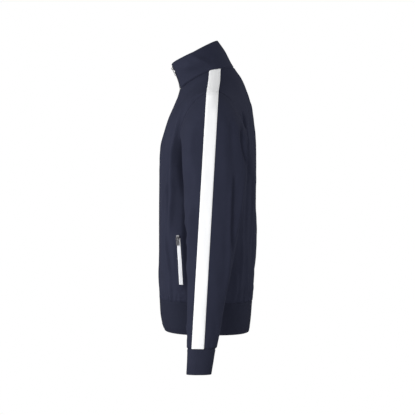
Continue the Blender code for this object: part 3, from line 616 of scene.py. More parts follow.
class Arm(Surface):
    """A cuff's or a sleeve's ovals, made for the +X side. A row is an index in its table, and a place is an
    angle in radians from the oval's outer point, under 0 towards the front and over 0 towards the rear."""

    def __init__(self, table):
        self.curves = table_curves(table, range(len(table)))
        self.last = len(table) - 1
        self.span = 0.0, float(self.last)

    def axes(self, ring):
        """A ring's sizes, its centre, and the way from there to its outer point."""
        size = row_at(Ring, self.curves, ring)
        outer = np.array([size.out_x, size.line_y, size.out_z])
        inner = np.array([size.in_x, size.line_y, size.in_z])
        return size, (outer + inner) / 2, (outer - inner) / 2

    def oval(self, ring, turns):
        size, centre, outward = self.axes(ring)
        turns = np.asarray(turns, float)
        points = centre + np.cos(turns)[..., None] * outward
        reach = np.where(np.sin(turns) < 0, size.line_y - size.front_y, size.rear_y - size.line_y)
        points[..., 1] += np.sin(turns) * reach
        return points

    at = oval


class Sleeve(Arm):
    """One side's sleeve, which starts on the armhole's edge and has its folds."""

    JOIN = 4.0  # the ring from which on it keeps to its ovals
    FOLDS_FROM, TOP_FADE, FOOT_FADE = 0.3, 1.7, 0.8  # in rings: where the folds start, and their fades
    EDGE_TURNS = np.linspace(-math.pi, math.pi, 145)
    OUTER_TURNS = np.linspace(-math.pi / 2, math.pi / 2, 91)

    def __init__(self, side):
        super().__init__(SLEEVE)
        self.side = side
        edge = []
        for turn in self.EDGE_TURNS:
            level = armhole_level(turn)
            place = GARMENT.place_at_y(level, armhole_y(turn))
            edge.append(GARMENT.at(level, side * place) * (side, 1, 1))
        self.offset = np.array(edge) - self.oval(0, self.EDGE_TURNS)  # from the first oval to the armhole
        self.lines = [self.fold_line(fold) for fold in SLEEVE_FOLDS[side]]
        self.lines += self.side_lines(SLEEVE_SIDE_FOLDS, 0 if side > 0 else 1)
        self.lines += [self.fold_line(fold) for fold in SLEEVE_DRAPE]

    def fold_line(self, fold):
        flat = bent_line(fold)
        rings = np.interp(-flat[:, 1], [-row.out_z for row in SLEEVE], range(len(SLEEVE)))
        line = [self.plain(ring, turn) for ring, turn in zip(rings, np.radians(flat[:, 0]))]
        return np.array(line), fold.height, fold.width

    def plain(self, ring, turns):
        """The surface without its folds."""
        points = self.oval(ring, turns)
        if ring < self.JOIN:
            around = (turns + math.pi) % (2 * math.pi) - math.pi
            offset = looked_up(around, self.EDGE_TURNS, self.offset)
            points = points + offset * (1 - ease(ring, 0, self.JOIN))
        return points

    def at(self, ring, turns):
        points = self.plain(ring, turns)
        out = unit(points - self.axes(ring)[1])
        calm = within(ring, self.FOLDS_FROM, self.last, self.TOP_FADE, self.FOOT_FADE)
        push = fold_push(points, self.lines) + swells(points, SLEEVE_SWELLS[self.side])
        return points + out * (push * calm)[..., None]

    def half_row(self, ring):
        return self.plain(ring, self.OUTER_TURNS), self.OUTER_TURNS

    def side_point(self, y, z):
        return self.plain(*self.side_spot(y, z))

    def turn_at_y(self, ring, y):
        """The turn on the outer half at which the ring has this Y."""
        return np.interp(y, self.at(ring, self.OUTER_TURNS)[:, 1], self.OUTER_TURNS)


GARMENT = Body()
COLLAR_RINGS, BAND_RINGS = RingStack(COLLAR, COLLAR_SIDE_FOLDS), RingStack(HEM_BAND)

# ---------------------------------------------------------------- cloth

# How cloth lies beside a seam, by the distance from it: a dip, a roll, puckers, and gathers a little way off.
SEAM_WIDTH = 1.8
ROLL_AT, ROLL_WIDTH = 4.5, 2.5
PUCKER_LENGTH, PUCKER_REACH = 9, 7
Gather = namedtuple("Gather", "length height at reach")
GATHERS = rows_of(Gather, (17, 1.0, 5, 17), (34, 1.2, 12, 34))
GATHER_START = 2


class Sheet:
    """A dense grid of points on a surface: rows run down it, and places run along each row."""

    def __init__(self, points, way=1, around=False):
        """way is 1 if down the sheet, then across it, turns about the outward direction, and -1 if not."""
        self.points, self.way, self.around = points, way, around
        self.normals = self.fresh_normals()
        self.down = distances(points)
        self.across = distances(points.swapaxes(0, 1)).T
        self.round = self.across[:, -1] + around * np.linalg.norm(points[:, 0] - points[:, -1], axis=1)

    def fresh_normals(self):
        """Outward normals of the sheet as it is now."""
        points = self.points
        if self.around:
            points = np.concatenate([points[:, -1:], points, points[:, :1]], axis=1)
        found = self.way * np.cross(np.gradient(points, axis=0), np.gradient(points, axis=1))
        return unit(found[:, 1:-1] if self.around else found)

    def turned(self, name, grid):
        """A view of a grid in which the border of this name is the first row."""
        if name in ("first", "last"):
            grid = grid.swapaxes(0, 1)
        return grid[::-1] if name in ("foot", "last") else grid

    def border(self, name):
        """The distance of each point from a border, the share of the way along it, and its length."""
        beside, along = (self.down, self.across) if name in ("top", "foot") else (self.across, self.down)
        away, along = self.turned(name, beside), self.turned(name, along)[0]
        length = {"top": self.round[0], "foot": self.round[-1]}.get(name, along[-1])
        return np.abs(away - away[0]), along / length, length

    def sew(self, name, depth=1.2, roll=0.3, pucker=0.35, gather=0.0, seed=0):
        """Lays a border into its seam: the cloth dips, rolls a little beside it, puckers and is gathered."""
        away, share, length = self.border(name)
        push = relief(away, (-depth, 0.0, SEAM_WIDTH), (roll, ROLL_AT, ROLL_WIDTH))
        push = push + pucker * wander(share, length / PUCKER_LENGTH, seed) * np.exp(-away / PUCKER_REACH)
        for turn, row in enumerate(GATHERS, start=1):
            ridges = wander(share, length / row.length, seed + turn) * relief(away, row[1:])
            push = push + gather * ridges * (1 - np.exp(-away / GATHER_START))
        self.turned(name, self.points)[...] += self.turned(name, self.normals) * push[..., None]

    def line_at(self, name, distance):
        """Points and normals along a border, at this distance from it."""
        away = self.border(name)[0]
        found = []
        for grid in (self.points, self.fresh_normals()):
            grid = self.turned(name, grid)
            line = np.array([looked_up(distance, away[:, c], grid[:, c]) for c in range(away.shape[1])])
            found.append(np.concatenate([line, line[:1]]) if self.around else line)
        return found


def sheet_on(surface, rows, around=False, mirror=False):
    """The sheet with the given rows of places on a surface, on the other side of the jacket if mirror."""
    points = np.array([surface.at(row, places) for row, places in rows])
    way = -1 if rows[0][1][0] > rows[0][1][-1] else 1
    return Sheet(points * (-1, 1, 1), -way, around) if mirror else Sheet(points, way, around)


RIM_TURNS = (70, 35)  # degrees round a wall's edge at which it has extra rows, from the outermost
RIM_BULGE = 0.8


def carried_round(*grids):
    """A wall's outer and inner faces, and its coordinates, with extra rows that carry its first and last rows
    round the edge."""
    for _ in ("first", "last"):
        outer, inner, coords = grids
        middle, half = (outer[0] + inner[0]) / 2, (outer[0] - inner[0]) / 2
        size = np.linalg.norm(half, axis=-1, keepdims=True)
        out = outer[0] - outer[1]
        out = unit(out - half * (out * half).sum(-1, keepdims=True) / size**2)
        step = coords[0] - coords[1]
        step = step / np.maximum(np.linalg.norm(step, axis=-1, keepdims=True), TINY)
        rims = []
        for turn in np.radians(RIM_TURNS):
            lean, away = half * math.cos(turn), RIM_BULGE * math.sin(turn) * size * out
            place = coords[0] + step * size * math.sin(turn)
            rims.append((middle + lean + away, middle - lean + away, place))
        grids = [np.concatenate([rim, grid])[::-1] for rim, grid in zip(zip(*rims), grids)]
    return grids


def swapped(grids):
    return [grid.swapaxes(0, 1) for grid in grids]


def quads(grid):
    """The four corners of each cell of a grid."""
    corners = [grid[:-1, :-1], grid[1:, :-1], grid[1:, 1:], grid[:-1, 1:]]
    return np.stack(corners, axis=2).reshape(-1, 4, *grid.shape[2:])


def wall(name, sheet, thick, lift):
    """A closed wall of cloth with rounded edges, whose outer face is the sheet moved out by lift."""
    normals = sheet.fresh_normals()
    outer = sheet.points + normals * lift
    coords = np.stack([sheet.across - sheet.across[:, -1:] / 2, sheet.down], axis=-1)
    grids = carried_round(outer, outer - normals * thick, coords)
    if not sheet.around:
        grids = swapped(carried_round(*swapped(grids)))
    outer, inner, coords = grids
    index = np.arange(outer[..., 0].size).reshape(outer.shape[:2])
    inside = index + index.size
    if sheet.around:
        index, inside = (np.concatenate([grid, grid[:, :1]], axis=1) for grid in (index, inside))
        closing = np.linalg.norm(outer[:, :1] - outer[:, -1:], axis=-1)
        last = coords[:, -1:] + np.stack([closing, np.zeros_like(closing)], axis=-1)
        coords = np.concatenate([coords, last], axis=1)
    faces = [quads(index), quads(inside)[:, ::-1]]
    places = [quads(coords), quads(coords)[:, ::-1]]
    edges = [(index[at], inside[at], coords[at], way) for at, way in ((0, 1), (-1, -1))]
    if not sheet.around:
        edges += [(index[:, at], inside[:, at], coords[:, at], way) for at, way in ((0, -1), (-1, 1))]
    for near, far, spot, way in edges:
        for made, low, high in ((faces, near, far), (places, spot, spot)):
            strip = np.stack([low[:-1], low[1:], high[1:], high[:-1]], axis=1)
            made.append(strip[:, ::way])
    points = np.concatenate([outer.reshape(-1, 3), inner.reshape(-1, 3)])
    return quad_object(name, points, np.concatenate(faces), np.concatenate(places))


def placed(name, data):
    """A new object in the scene."""
    obj = bpy.data.objects.new(name, data)
    bpy.context.scene.collection.objects.link(obj)
    return obj


def quad_object(name, points, faces, places=None):
    """An object of four-sided faces. places gives the cut cloth's own coordinates, in mm, at each corner."""
    a, b, c, d = (points[faces[:, k]] for k in range(4))
    volume = (a * np.cross(b, c)).sum() + (a * np.cross(c, d)).sum()
    if volume < 0:
        faces = faces[:, ::-1]
        places = None if places is None else places[:, ::-1]
    mesh = bpy.data.meshes.new(name)
    mesh.vertices.add(len(points))
    mesh.vertices.foreach_set("co", (points * MM).astype(np.float32).ravel())
    mesh.loops.add(faces.size)
    mesh.loops.foreach_set("vertex_index", faces.astype(np.int32).ravel())
    mesh.polygons.add(len(faces))
    mesh.polygons.foreach_set("loop_start", np.arange(0, faces.size, 4, dtype=np.int32))
    mesh.update(calc_edges=True)
    if places is not None:
        layer = mesh.uv_layers.new(name="cut")
        layer.uv.foreach_set("vector", (places * MM).astype(np.float32).ravel())
    mesh.shade_smooth()
    return placed(name, mesh)


def finish_piece(obj, material, replaces=()):
    obj.data.materials.append(material)
    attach(obj, "root")
    if replaces:
        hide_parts(*replaces)
    return obj


# ---------------------------------------------------------------- materials

# A knit's wale, course and relief are in mm: the width and height of a loop, and how far it stands out.
Knit = namedtuple("Knit", "dark light wale course relief roughness sheen sheen_tint")
BLUE_BLOOM, WHITE_BLOOM = (0.55, 0.62, 0.9), (1.0, 1.0, 1.0)
NAVY = Knit((0.0175, 0.0193, 0.0335), (0.0312, 0.0343, 0.0572), 0.9, 0.8, 0.10, 0.70, 0.004, BLUE_BLOOM)
# The hem band's colours are darker than the body cloth's: partly for its coarser knit, partly painted shade
# for a band that tilts downward.
NAVY_BAND = Knit((0.0140, 0.0154, 0.0262), (0.0250, 0.0275, 0.0452), 1.3, 0.9, 0.22, 0.75, 0.004, BLUE_BLOOM)
KNITS = {
    "navy_knit": NAVY,
    "navy_band_knit": NAVY_BAND,
    "navy_cuff_knit": NAVY_BAND._replace(dark=(0.0166, 0.0182, 0.0310), light=(0.0296, 0.0325, 0.0535)),
    "white_knit": Knit((0.80, 0.81, 0.82), (0.90, 0.90, 0.91), 0.8, 0.8, 0.08, 0.70, 0.1, WHITE_BLOOM),
    "white_tape": Knit((0.70, 0.71, 0.74), (0.82, 0.83, 0.86), 0.6, 1.1, 0.10, 0.60, 0.0, WHITE_BLOOM),
    "dark_tape": Knit((0.012, 0.013, 0.020), (0.026, 0.028, 0.042), 0.6, 1.1, 0.10, 0.65, 0.0, BLUE_BLOOM),
}
STRAND_RISE, STRAND_DEPTH = 2.2, 0.28  # how far a loop's strands bow upwards, and the depth between them
FUZZ_SCALE, FUZZ_DETAIL, FUZZ_HEIGHT = 2600.0, 2.0, 0.25
CLOUD_SCALE, LOOP_PAINTED_SHADE = 14.0, 0.45  # uneven dyeing, and the share of the colour mix that is painted shade, darker in the grooves between the loops
KNIT_BUMP, KNIT_UNEVEN, KNIT_SPECULAR, SHEEN_ROUGHNESS = 0.6, 0.12, 0.01, 0.45
Finish = namedtuple("Finish", "dark light roughness metallic grain relief specular")
FINISHES = {
    "gunmetal": Finish((0.15, 0.15, 0.165), (0.20, 0.20, 0.215), 0.36, 1.0, 900.0, 0.01, 0.5),
    # painted highlight: a paler copy of the gunmetal, for the pocket slider, stands in for the bright ring on
    # its top
    "painted_highlight_metal": Finish((0.42, 0.42, 0.44), (0.50, 0.50, 0.52), 0.34, 1.0, 900.0, 0.01, 0.5),
    "dark_plastic": Finish((0.014, 0.015, 0.021), (0.022, 0.023, 0.031), 0.42, 0.0, 1500.0, 0.02, 0.5),
    "navy_thread": Finish((0.022, 0.024, 0.042), (0.032, 0.035, 0.058), 0.80, 0.0, 3000.0, 0.05, 0.0),
    "white_thread": Finish((0.80, 0.81, 0.83), (0.90, 0.90, 0.92), 0.50, 0.0, 3000.0, 0.05, 0.5),
}
GRAIN_BUMP, GRAIN_UNEVEN = 0.4, 0.2


def add(tree, kind, inputs=(), **settings):
    """A new node with its settings and inputs, each of which is a value or another node's output."""
    node = tree.nodes.new(kind)
    for key, value in settings.items():
        setattr(node, key, value)
    for socket, value in dict(inputs).items():
        if isinstance(value, bpy.types.NodeSocket):
            tree.links.new(value, node.inputs[socket])
        else:
            node.inputs[socket].default_value = value
    return node


def figure(tree, operation, *values):
    return add(tree, "ShaderNodeMath", dict(enumerate(values)), operation=operation).outputs[0]


def noise(tree, scale, detail=3.0):
    place = add(tree, "ShaderNodeTexCoord").outputs["Object"]
    node = add(tree, "ShaderNodeTexNoise", {"Vector": place, "Scale": scale, "Detail": detail})
    return node.outputs["Fac"]


def new_material(name, plain):
    """A new material whose shader has these plain values, with its nodes and its shader."""
    material = bpy.data.materials.new(name)
    material.use_nodes = True
    shader = material.node_tree.nodes["Principled BSDF"]
    for socket, value in plain.items():
        shader.inputs[socket].default_value = value
    return material, material.node_tree, shader


def blend(tree, share, look):
    """A mix of a look's two colours. share is a node's output from 0 to 1."""
    colours = {"Factor": share, "A": (*look.dark, 1.0), "B": (*look.light, 1.0)}
    return add(tree, "ShaderNodeMix", colours, data_type="RGBA").outputs["Result"]


def give_look(tree, shader, look, shade, height, strength, grain, uneven):
    """Colours mixed by shade, a bump from height, and a roughness that the grain makes uneven."""
    tree.links.new(blend(tree, shade, look), shader.inputs["Base Color"])
    relief_in = {"Height": height, "Strength": strength, "Distance": look.relief * MM}
    tree.links.new(add(tree, "ShaderNodeBump", relief_in).outputs["Normal"], shader.inputs["Normal"])
    rough = figure(tree, "MULTIPLY_ADD", grain, uneven, look.roughness - uneven / 2)
    tree.links.new(rough, shader.inputs["Roughness"])


def knit(name, look):
    """Knitted cloth: upright rows of small loops with painted shade in the grooves between them, faint uneven
    dyeing and a soft bloom.
    """
    plain = {"Sheen Weight": look.sheen, "Sheen Roughness": SHEEN_ROUGHNESS}
    plain |= {"Sheen Tint": (*look.sheen_tint, 1.0), "Specular IOR Level": KNIT_SPECULAR}
    material, tree, shader = new_material(name, plain)
    cut = add(tree, "ShaderNodeUVMap", uv_map="cut").outputs["UV"]
    spot = add(tree, "ShaderNodeSeparateXYZ", {"Vector": cut})
    wale = figure(tree, "MULTIPLY", spot.outputs["X"], math.pi / look.wale / MM)
    wale = figure(tree, "ABSOLUTE", figure(tree, "SINE", wale))
    course = figure(tree, "MULTIPLY", spot.outputs["Y"], 2 * math.pi / look.course / MM)
    course = figure(tree, "SINE", figure(tree, "MULTIPLY_ADD", wale, STRAND_RISE, course))
    strands = figure(tree, "MULTIPLY_ADD", course, STRAND_DEPTH, 1 - STRAND_DEPTH)
    loops = figure(tree, "MULTIPLY", wale, strands)
    height = figure(tree, "MULTIPLY_ADD", noise(tree, FUZZ_SCALE, FUZZ_DETAIL), FUZZ_HEIGHT, loops)
    clouds = noise(tree, CLOUD_SCALE)
    # painted shade: the colour darkens in the grooves between the loops, mixed with the uneven dyeing
    shade = figure(tree, "MULTIPLY_ADD", loops, LOOP_PAINTED_SHADE, figure(tree, "MULTIPLY", clouds, 1 - LOOP_PAINTED_SHADE))
    give_look(tree, shader, look, shade, height, KNIT_BUMP, clouds, KNIT_UNEVEN)
    return material


def plain_finish(name, look):
    """A hard or threadlike finish with fine grain, in two near shades."""
    plain = {"Metallic": look.metallic, "Specular IOR Level": look.specular}
    material, tree, shader = new_material(name, plain)
    grain = noise(tree, look.grain)
    give_look(tree, shader, look, grain, grain, GRAIN_BUMP, grain, GRAIN_UNEVEN)
    return material


CLOTHS = {name: knit(name, look) for name, look in KNITS.items()}
HARD = {name: plain_finish(name, look) for name, look in FINISHES.items()}

# ---------------------------------------------------------------- stitches

STITCH, STITCH_PITCH, STITCH_RADIUS = 2.5, 3.2, 0.26  # a stitch's length, pitch and thread
STITCH_FLATNESS, STITCH_RISE = 1.3, 0.12
STITCH_AHEAD, TOOTH_AHEAD = 0.6, 1.0  # how far ahead the way along is looked up
StitchRing = namedtuple("StitchRing", "along size out")
STITCH_RINGS = rows_of(StitchRing, (-0.5, 0.35, -0.25), (-0.3, 1.0, 0.0), (0.3, 1.0, 0.0), (0.5, 0.35, -0.25))
STITCH_SIDES = 4


def frames_along(line, outs, spots, ahead):
    """The centre, the way along and the outward way at each of these distances along a line."""
    along = distances(line)
    centres = looked_up(spots, along, line)
    ways = looked_up(spots + ahead, along, line) - centres
    return zip(centres, unit(ways), unit(looked_up(spots, along, outs)))


def stitch_shape():
    """One stitch's points, each (along, aside, out), and its faces. Its ends sink into the cloth."""
    points = []
    for ring in STITCH_RINGS:
        for turn in 2 * math.pi * (np.arange(STITCH_SIDES) + 0.5) / STITCH_SIDES:
            radius = STITCH_RADIUS * ring.size
            aside, out = STITCH_FLATNESS * radius * math.cos(turn), radius * math.sin(turn) + ring.out
            points.append((ring.along * STITCH, aside, out))
    near = np.arange(STITCH_SIDES)
    after = np.roll(near, -1)
    side = np.stack([near, after, after + STITCH_SIDES, near + STITCH_SIDES], axis=1)
    starts = STITCH_SIDES * np.arange(len(STITCH_RINGS))
    faces = [side + start for start in starts[:-1]] + [near[None, ::-1], near[None] + starts[-1]]
    return np.array(points), np.concatenate(faces)


def stitching(name, lines, thread):
    """All the stitches along some lines, each a pair of (points, normals)."""
    shape, faces = stitch_shape()
    points, all_faces = [], []
    for line, normals in lines:
        length = distances(line)[-1]
        count = max(1, int(length / STITCH_PITCH))
        spots = (np.arange(count) + 0.5) * length / count
        for centre, way, out in frames_along(line, normals, spots, STITCH_AHEAD):
            all_faces.append(faces + len(points))
            points += list(centre + out * STITCH_RISE + shape @ np.array([way, np.cross(way, out), out]))
    stitches = quad_object(name, np.array(points), np.concatenate(all_faces))
    return finish_piece(stitches, HARD[thread])


# ---------------------------------------------------------------- the cloth's pieces

ROWS_APART, SHOULDER_ROWS_APART, ARMHOLE_ROWS = 2.6, 1.6, 90
COLLAR_ROWS_APART, HEM_ROWS_APART, SLEEVE_ROWS_APART, STRIPE_ROWS_APART = 1.2, 2.0, 2.7, 1.0
FRONT_COLUMNS, BACK_COLUMNS, COLLAR_COLUMNS, HEM_COLUMNS = 101, 171, 151, 281
SLEEVE_COLUMNS, CUFF_COLUMNS, CUFF_ROWS, STRIPE_COLUMNS, FINE_RINGS = 120, 90, 32, 13, 400
EDGE_TO_EDGE = {"depth": 0.3, "roll": 0.0, "pucker": 0.25}  # a seam between two borders that just meet
STRIPE_Y, STRIPE_LEAN = 14.5, 0.057  # the middle of a sleeve's stripe: its Y at height 0, and its slant
STRIPE_OFFSETS = np.linspace(-STRIPE_WIDTH / 2, STRIPE_WIDTH / 2, STRIPE_COLUMNS)


def without_side(name):
    return name.removesuffix("_left").removesuffix("_right")


def cloth_piece(name, sheet):
    """The cloth of a sheet, in the place of the solid of this name, with its rows of stitches."""
    make, width, length, area, rows = PIECES[without_side(name)]
    piece = wall(f"cloth_{name}", sheet, make.thick, make.lift)
    finish_piece(piece, CLOTHS[make.cloth], [name])
    lines = []
    for border, distance in rows:
        line, normals = sheet.line_at(border, distance)
        lines.append((line + normals * make.lift, normals))
    sewn_on = [stitching(f"stitches_{name}", lines, make.thread)] if rows else []


def close_levels():
    """Levels down a panel, closer together where the rings slope and where the armhole turns in."""
    shoulder = evenly(NECK_LEVEL, TIP_LEVEL, SHOULDER_ROWS_APART)
    armhole = [armhole_level(turn) for turn in np.linspace(0, math.pi, ARMHOLE_ROWS)]
    return np.concatenate([shoulder[:-1], armhole[:-1], evenly(UNDERARM_LEVEL, HEM_SEAM_LEVEL, ROWS_APART)])


def make_fronts():
    for side, label in SIDES:
        rows = []
        for level in close_levels():
            ends = GARMENT.place_at_x(level, ZIP_GAP), edge_place(level, "front")
            rows.append((level, side * np.linspace(*ends, FRONT_COLUMNS)))
        sheet = sheet_on(GARMENT, rows)
        sheet.sew("top", seed=10 + side)
        sheet.sew("foot", gather=0.8, seed=20 + side)
        sheet.sew("last", **EDGE_TO_EDGE, seed=30 + side)
        sheet.sew("first", depth=0.0, roll=0.0, pucker=0.7, seed=35 + side)
        sheet.points = sheet.points + sheet.normals * pocket_welt(sheet.points, side)[..., None]
        cloth_piece(f"front_{label}", sheet)


def make_back():
    rows = []
    for level in close_levels():
        edge = edge_place(level, "back")
        rows.append((level, np.linspace(edge, 2 * GARMENT.length(level) - edge, BACK_COLUMNS)))
    sheet = sheet_on(GARMENT, rows)
    sheet.sew("top", seed=40)
    sheet.sew("foot", gather=0.8, seed=41)
    for border in ("first", "last"):
        sheet.sew(border, **EDGE_TO_EDGE, seed=42)
    cloth_piece("back", sheet)


def band_sheet(rings, top, foot, rows_apart, columns):
    """A sheet that runs from one side of the zip round the back to its other side."""
    rows = []
    for level in evenly(top, foot, rows_apart):
        first = rings.place_at_x(level, ZIP_GAP)
        rows.append((level, np.linspace(first, 2 * rings.length(level) - first, columns)))
    return sheet_on(rings, rows)


def make_collar():
    sheet = band_sheet(COLLAR_RINGS, COLLAR[-1].level, NECK_LEVEL, COLLAR_ROWS_APART, COLLAR_COLUMNS)
    sheet.sew("foot", depth=0.9, seed=50)
    cloth_piece("collar", sheet)


def make_hem():
    sheet = band_sheet(BAND_RINGS, HEM_SEAM_LEVEL, HEM_BAND[-1].level, HEM_ROWS_APART, HEM_COLUMNS)
    sheet.sew("top", depth=1.0, pucker=0.4, seed=60)
    cloth_piece("hem_band", sheet)


def tube_sheet(arm, rings, columns, side):
    """A sheet that runs all the way round a sleeve or a cuff."""
    turns = np.linspace(-math.pi, math.pi, columns, endpoint=False)
    return sheet_on(arm, [(ring, turns) for ring in rings], around=True, mirror=side < 0)


def make_sleeves():
    """Each side's sleeve, cuff and stripes. The stripes are white bands sewn on along both of their edges."""
    for side, label in SIDES:
        arm, cuff_arm = Sleeve(side), Arm(CUFF)
        fine = np.linspace(0, arm.last, FINE_RINGS)
        outer = np.stack([arm.curves[name](fine) for name in ("out_x", "out_z")], axis=1)
        along = distances(outer)
        rings = np.interp(evenly(0, along[-1], SLEEVE_ROWS_APART), along, fine)
        sheet = tube_sheet(arm, rings, SLEEVE_COLUMNS, side)
        sheet.sew("top", **EDGE_TO_EDGE, seed=70 + side)
        sheet.sew("foot", gather=0.5, seed=80 + side)
        cloth_piece(f"sleeve_{label}", sheet)
        sheet = tube_sheet(cuff_arm, np.linspace(0, cuff_arm.last, CUFF_ROWS), CUFF_COLUMNS, side)
        sheet.sew("top", depth=1.0, seed=90 + side)
        cloth_piece(f"cuff_{label}", sheet)
        for part, sheet in (("shoulder", shoulder_stripe(side)), ("sleeve", sleeve_stripe(arm, rings, side))):
            for border in ("first", "last"):
                sheet.sew(border, depth=0.5, pucker=0.12, seed=100)
            cloth_piece(f"stripe_{part}_{label}", sheet)


def shoulder_stripe(side):
    rows = []
    for level in evenly(NECK_LEVEL, TIP_LEVEL, STRIPE_ROWS_APART):
        middle = float(GARMENT.curves["side_y"](level))
        places = [side * GARMENT.place_at_y(level, middle + offset) for offset in STRIPE_OFFSETS]
        rows.append((level, np.array(places)))
    return sheet_on(GARMENT, rows)


def sleeve_stripe(arm, rings, side):
    rows = []
    for ring in rings:
        middle = STRIPE_Y + STRIPE_LEAN * float(arm.curves["out_z"](ring))
        rows.append((ring, arm.turn_at_y(ring, middle + STRIPE_OFFSETS)))
    return sheet_on(arm, rows, mirror=side < 0)


# ---------------------------------------------------------------- zips

WELT_SPOTS, WELT_STOP = 12, 5  # the welt stops this far above the zip's foot
LIP = (1.7, 8.2, 2.2)  # a lip beside the pocket's zip: height, distance from its middle, width
BED_DEPTH, BED_EDGE = 0.8, (4.5, 6.5)  # how far the cloth sinks under the zip, and where it comes up again
POCKET_ROWS_APART, POCKET_COLUMNS = 1.5, 21
GROOVE, TEETH_RIDGE = (-0.9, 0.0, 0.6), (0.35, 1.7, 0.8)  # the closed pocket zip: height, distance, width


def pocket_spot(side, down):
    """The row and place on the body of a spot this far below a pocket's top."""
    y = POCKET_TOP_Y + down / POCKET_LENGTH * (POCKET_FOOT_Y - POCKET_TOP_Y)
    level = POCKET_TOP_LEVEL - down
    return level, side * GARMENT.place_at_y(level, y)


def pocket_welt(points, side):
    """How far the cloth is pushed out round a pocket's zip: it sinks under the zip, between two lips."""
    downs = np.linspace(POCKET_BARE, POCKET_LENGTH - WELT_STOP, WELT_SPOTS)
    line = np.array([GARMENT.at(*pocket_spot(side, down)) for down in downs])
    away = np.linalg.norm(points[..., None, :] - line, axis=-1).min(axis=-1)
    return relief(away, LIP) - BED_DEPTH * (1 - ease(away, *BED_EDGE))


def make_pockets():
    """The zips' tapes, each with the groove and the two ridges of its closed teeth."""
    for side, label in SIDES:
        rows = []
        for down in evenly(POCKET_BARE, POCKET_LENGTH, POCKET_ROWS_APART):
            level, middle = pocket_spot(side, down)
            rows.append((level, middle + side * np.linspace(-0.5, 0.5, POCKET_COLUMNS) * POCKET_ZIP_WIDTH))
        sheet = sheet_on(GARMENT, rows)
        across = np.abs(sheet.across - sheet.across[:, -1:] / 2)
        sheet.points = sheet.points + sheet.normals * relief(across, GROOVE, TEETH_RIDGE)[..., None]
        cloth_piece(f"pocket_zip_{label}", sheet)


# The front zip. Its tapes and its line have closer rows over the collar.
TAPE_GAP, TAPE_COLUMNS, TAPE_ROWS_APART, TAPE_COLLAR_ROWS_APART = 0.2, 11, 5.0, 3.0
CHAIN_ROWS_APART, CHAIN_COLLAR_ROWS_APART = 3.0, 1.5
TOOTH_SIZE, TOOTH_PLACE = Vector((3.3, 1.0, 1.9)), Vector((1.25, 0.0, 0.45))  # across, down and out
TOOTH_HEAD, TOOTH_EDGE = 1.25, 0.28  # how much wider the end is that hooks in, and the edges' bevel


def stops_down(top, foot, collar_apart, apart):
    """Levels down the front zip, over the collar, the body and the hem band, each with its surface."""
    stops = [(COLLAR_RINGS, level) for level in evenly(top, NECK_LEVEL, collar_apart)]
    stops += [(GARMENT, level) for level in evenly(NECK_LEVEL, HEM_SEAM_LEVEL, apart)[1:]]
    return stops + [(BAND_RINGS, level) for level in evenly(HEM_SEAM_LEVEL, foot, apart)[1:]]


def tooth_mesh():
    """One rounded tooth in its own place: across, down and out."""
    made = bmesh.new()
    bmesh.ops.create_cube(made, size=1.0)
    for vert in made.verts:
        vert.co = vert.co * TOOTH_SIZE + TOOTH_PLACE
        vert.co.y *= TOOTH_HEAD if vert.co.x < 0 else 1.0
    bmesh.ops.bevel(made, geom=list(made.edges), offset=TOOTH_EDGE, segments=1, affect="EDGES")
    points = np.array([tuple(vert.co) for vert in made.verts])
    faces = [tuple(vert.index for vert in face.verts) for face in made.faces]
    made.free()
    return points, faces


def make_chain():
    """The front zip's teeth, from its two sides in turn."""
    stops = stops_down(CHAIN_TOP_LEVEL, CHAIN_FOOT_LEVEL, CHAIN_COLLAR_ROWS_APART, CHAIN_ROWS_APART)
    line = np.array([surface.at(level, 0.0) for surface, level in stops])
    run = np.gradient(line, axis=0)
    outs = np.stack([np.zeros(len(run)), run[:, 2], -run[:, 1]], axis=1)
    spots = (np.arange(int(2 * distances(line)[-1] / TOOTH_PITCH)) + 0.5) * TOOTH_PITCH / 2
    shape, faces = tooth_mesh()
    points, all_faces = [], []
    for k, (centre, down, out) in enumerate(frames_along(line, unit(outs), spots, TOOTH_AHEAD)):
        side = 1 if k % 2 else -1
        all_faces += [tuple(i + len(points) for i in face)[::-side] for face in faces]
        points += list(centre + shape @ np.array([(side, 0.0, 0.0), down, out]))
    mesh = bpy.data.meshes.new("zip_teeth")
    mesh.from_pydata([tuple(point * MM) for point in points], [], all_faces)
    finish_piece(placed("zip_teeth", mesh), HARD["dark_plastic"], ["zip_chain"])


def make_tapes():
    """The zip's two tapes, which lie behind the fronts' edges."""
    stops = stops_down(TAPE_TOP_LEVEL, TAPE_FOOT_LEVEL, TAPE_COLLAR_ROWS_APART, TAPE_ROWS_APART)
    for side, label in SIDES:
        rows = []
        for surface, level in stops:
            places = [surface.place_at_x(level, x) for x in np.linspace(TAPE_GAP, TAPE_WIDTH, TAPE_COLUMNS)]
            rows.append(surface.at(level, side * np.array(places)))
        cloth_piece(f"zip_tape_{label}", Sheet(np.array(rows), way=side))


HARD_NODES = {
    # the pocket slider's paler metal is a painted highlight
    "pocket_slider": "painted_highlight_metal",
    "pocket_pull": "gunmetal",
    "zip_slider": "gunmetal",
    "zip_pull": "gunmetal",
    "zip_box": "dark_plastic",
}
SOFT_EDGE, SOFT_STEPS = 0.25, 2


def dress_hard_pieces():
    """Better finishes, and softened edges, for the hard pieces of the zips."""
    for name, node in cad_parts.items():
        finish = HARD_NODES.get(without_side(name))
        if finish:
            node.data.materials.clear()
            node.data.materials.append(HARD[finish])
            soften = node.modifiers.new("soften", "BEVEL")
            soften.width, soften.segments, soften.limit_method = SOFT_EDGE * MM, SOFT_STEPS, "ANGLE"


# ---------------------------------------------------------------- floor, light and camera, in metres

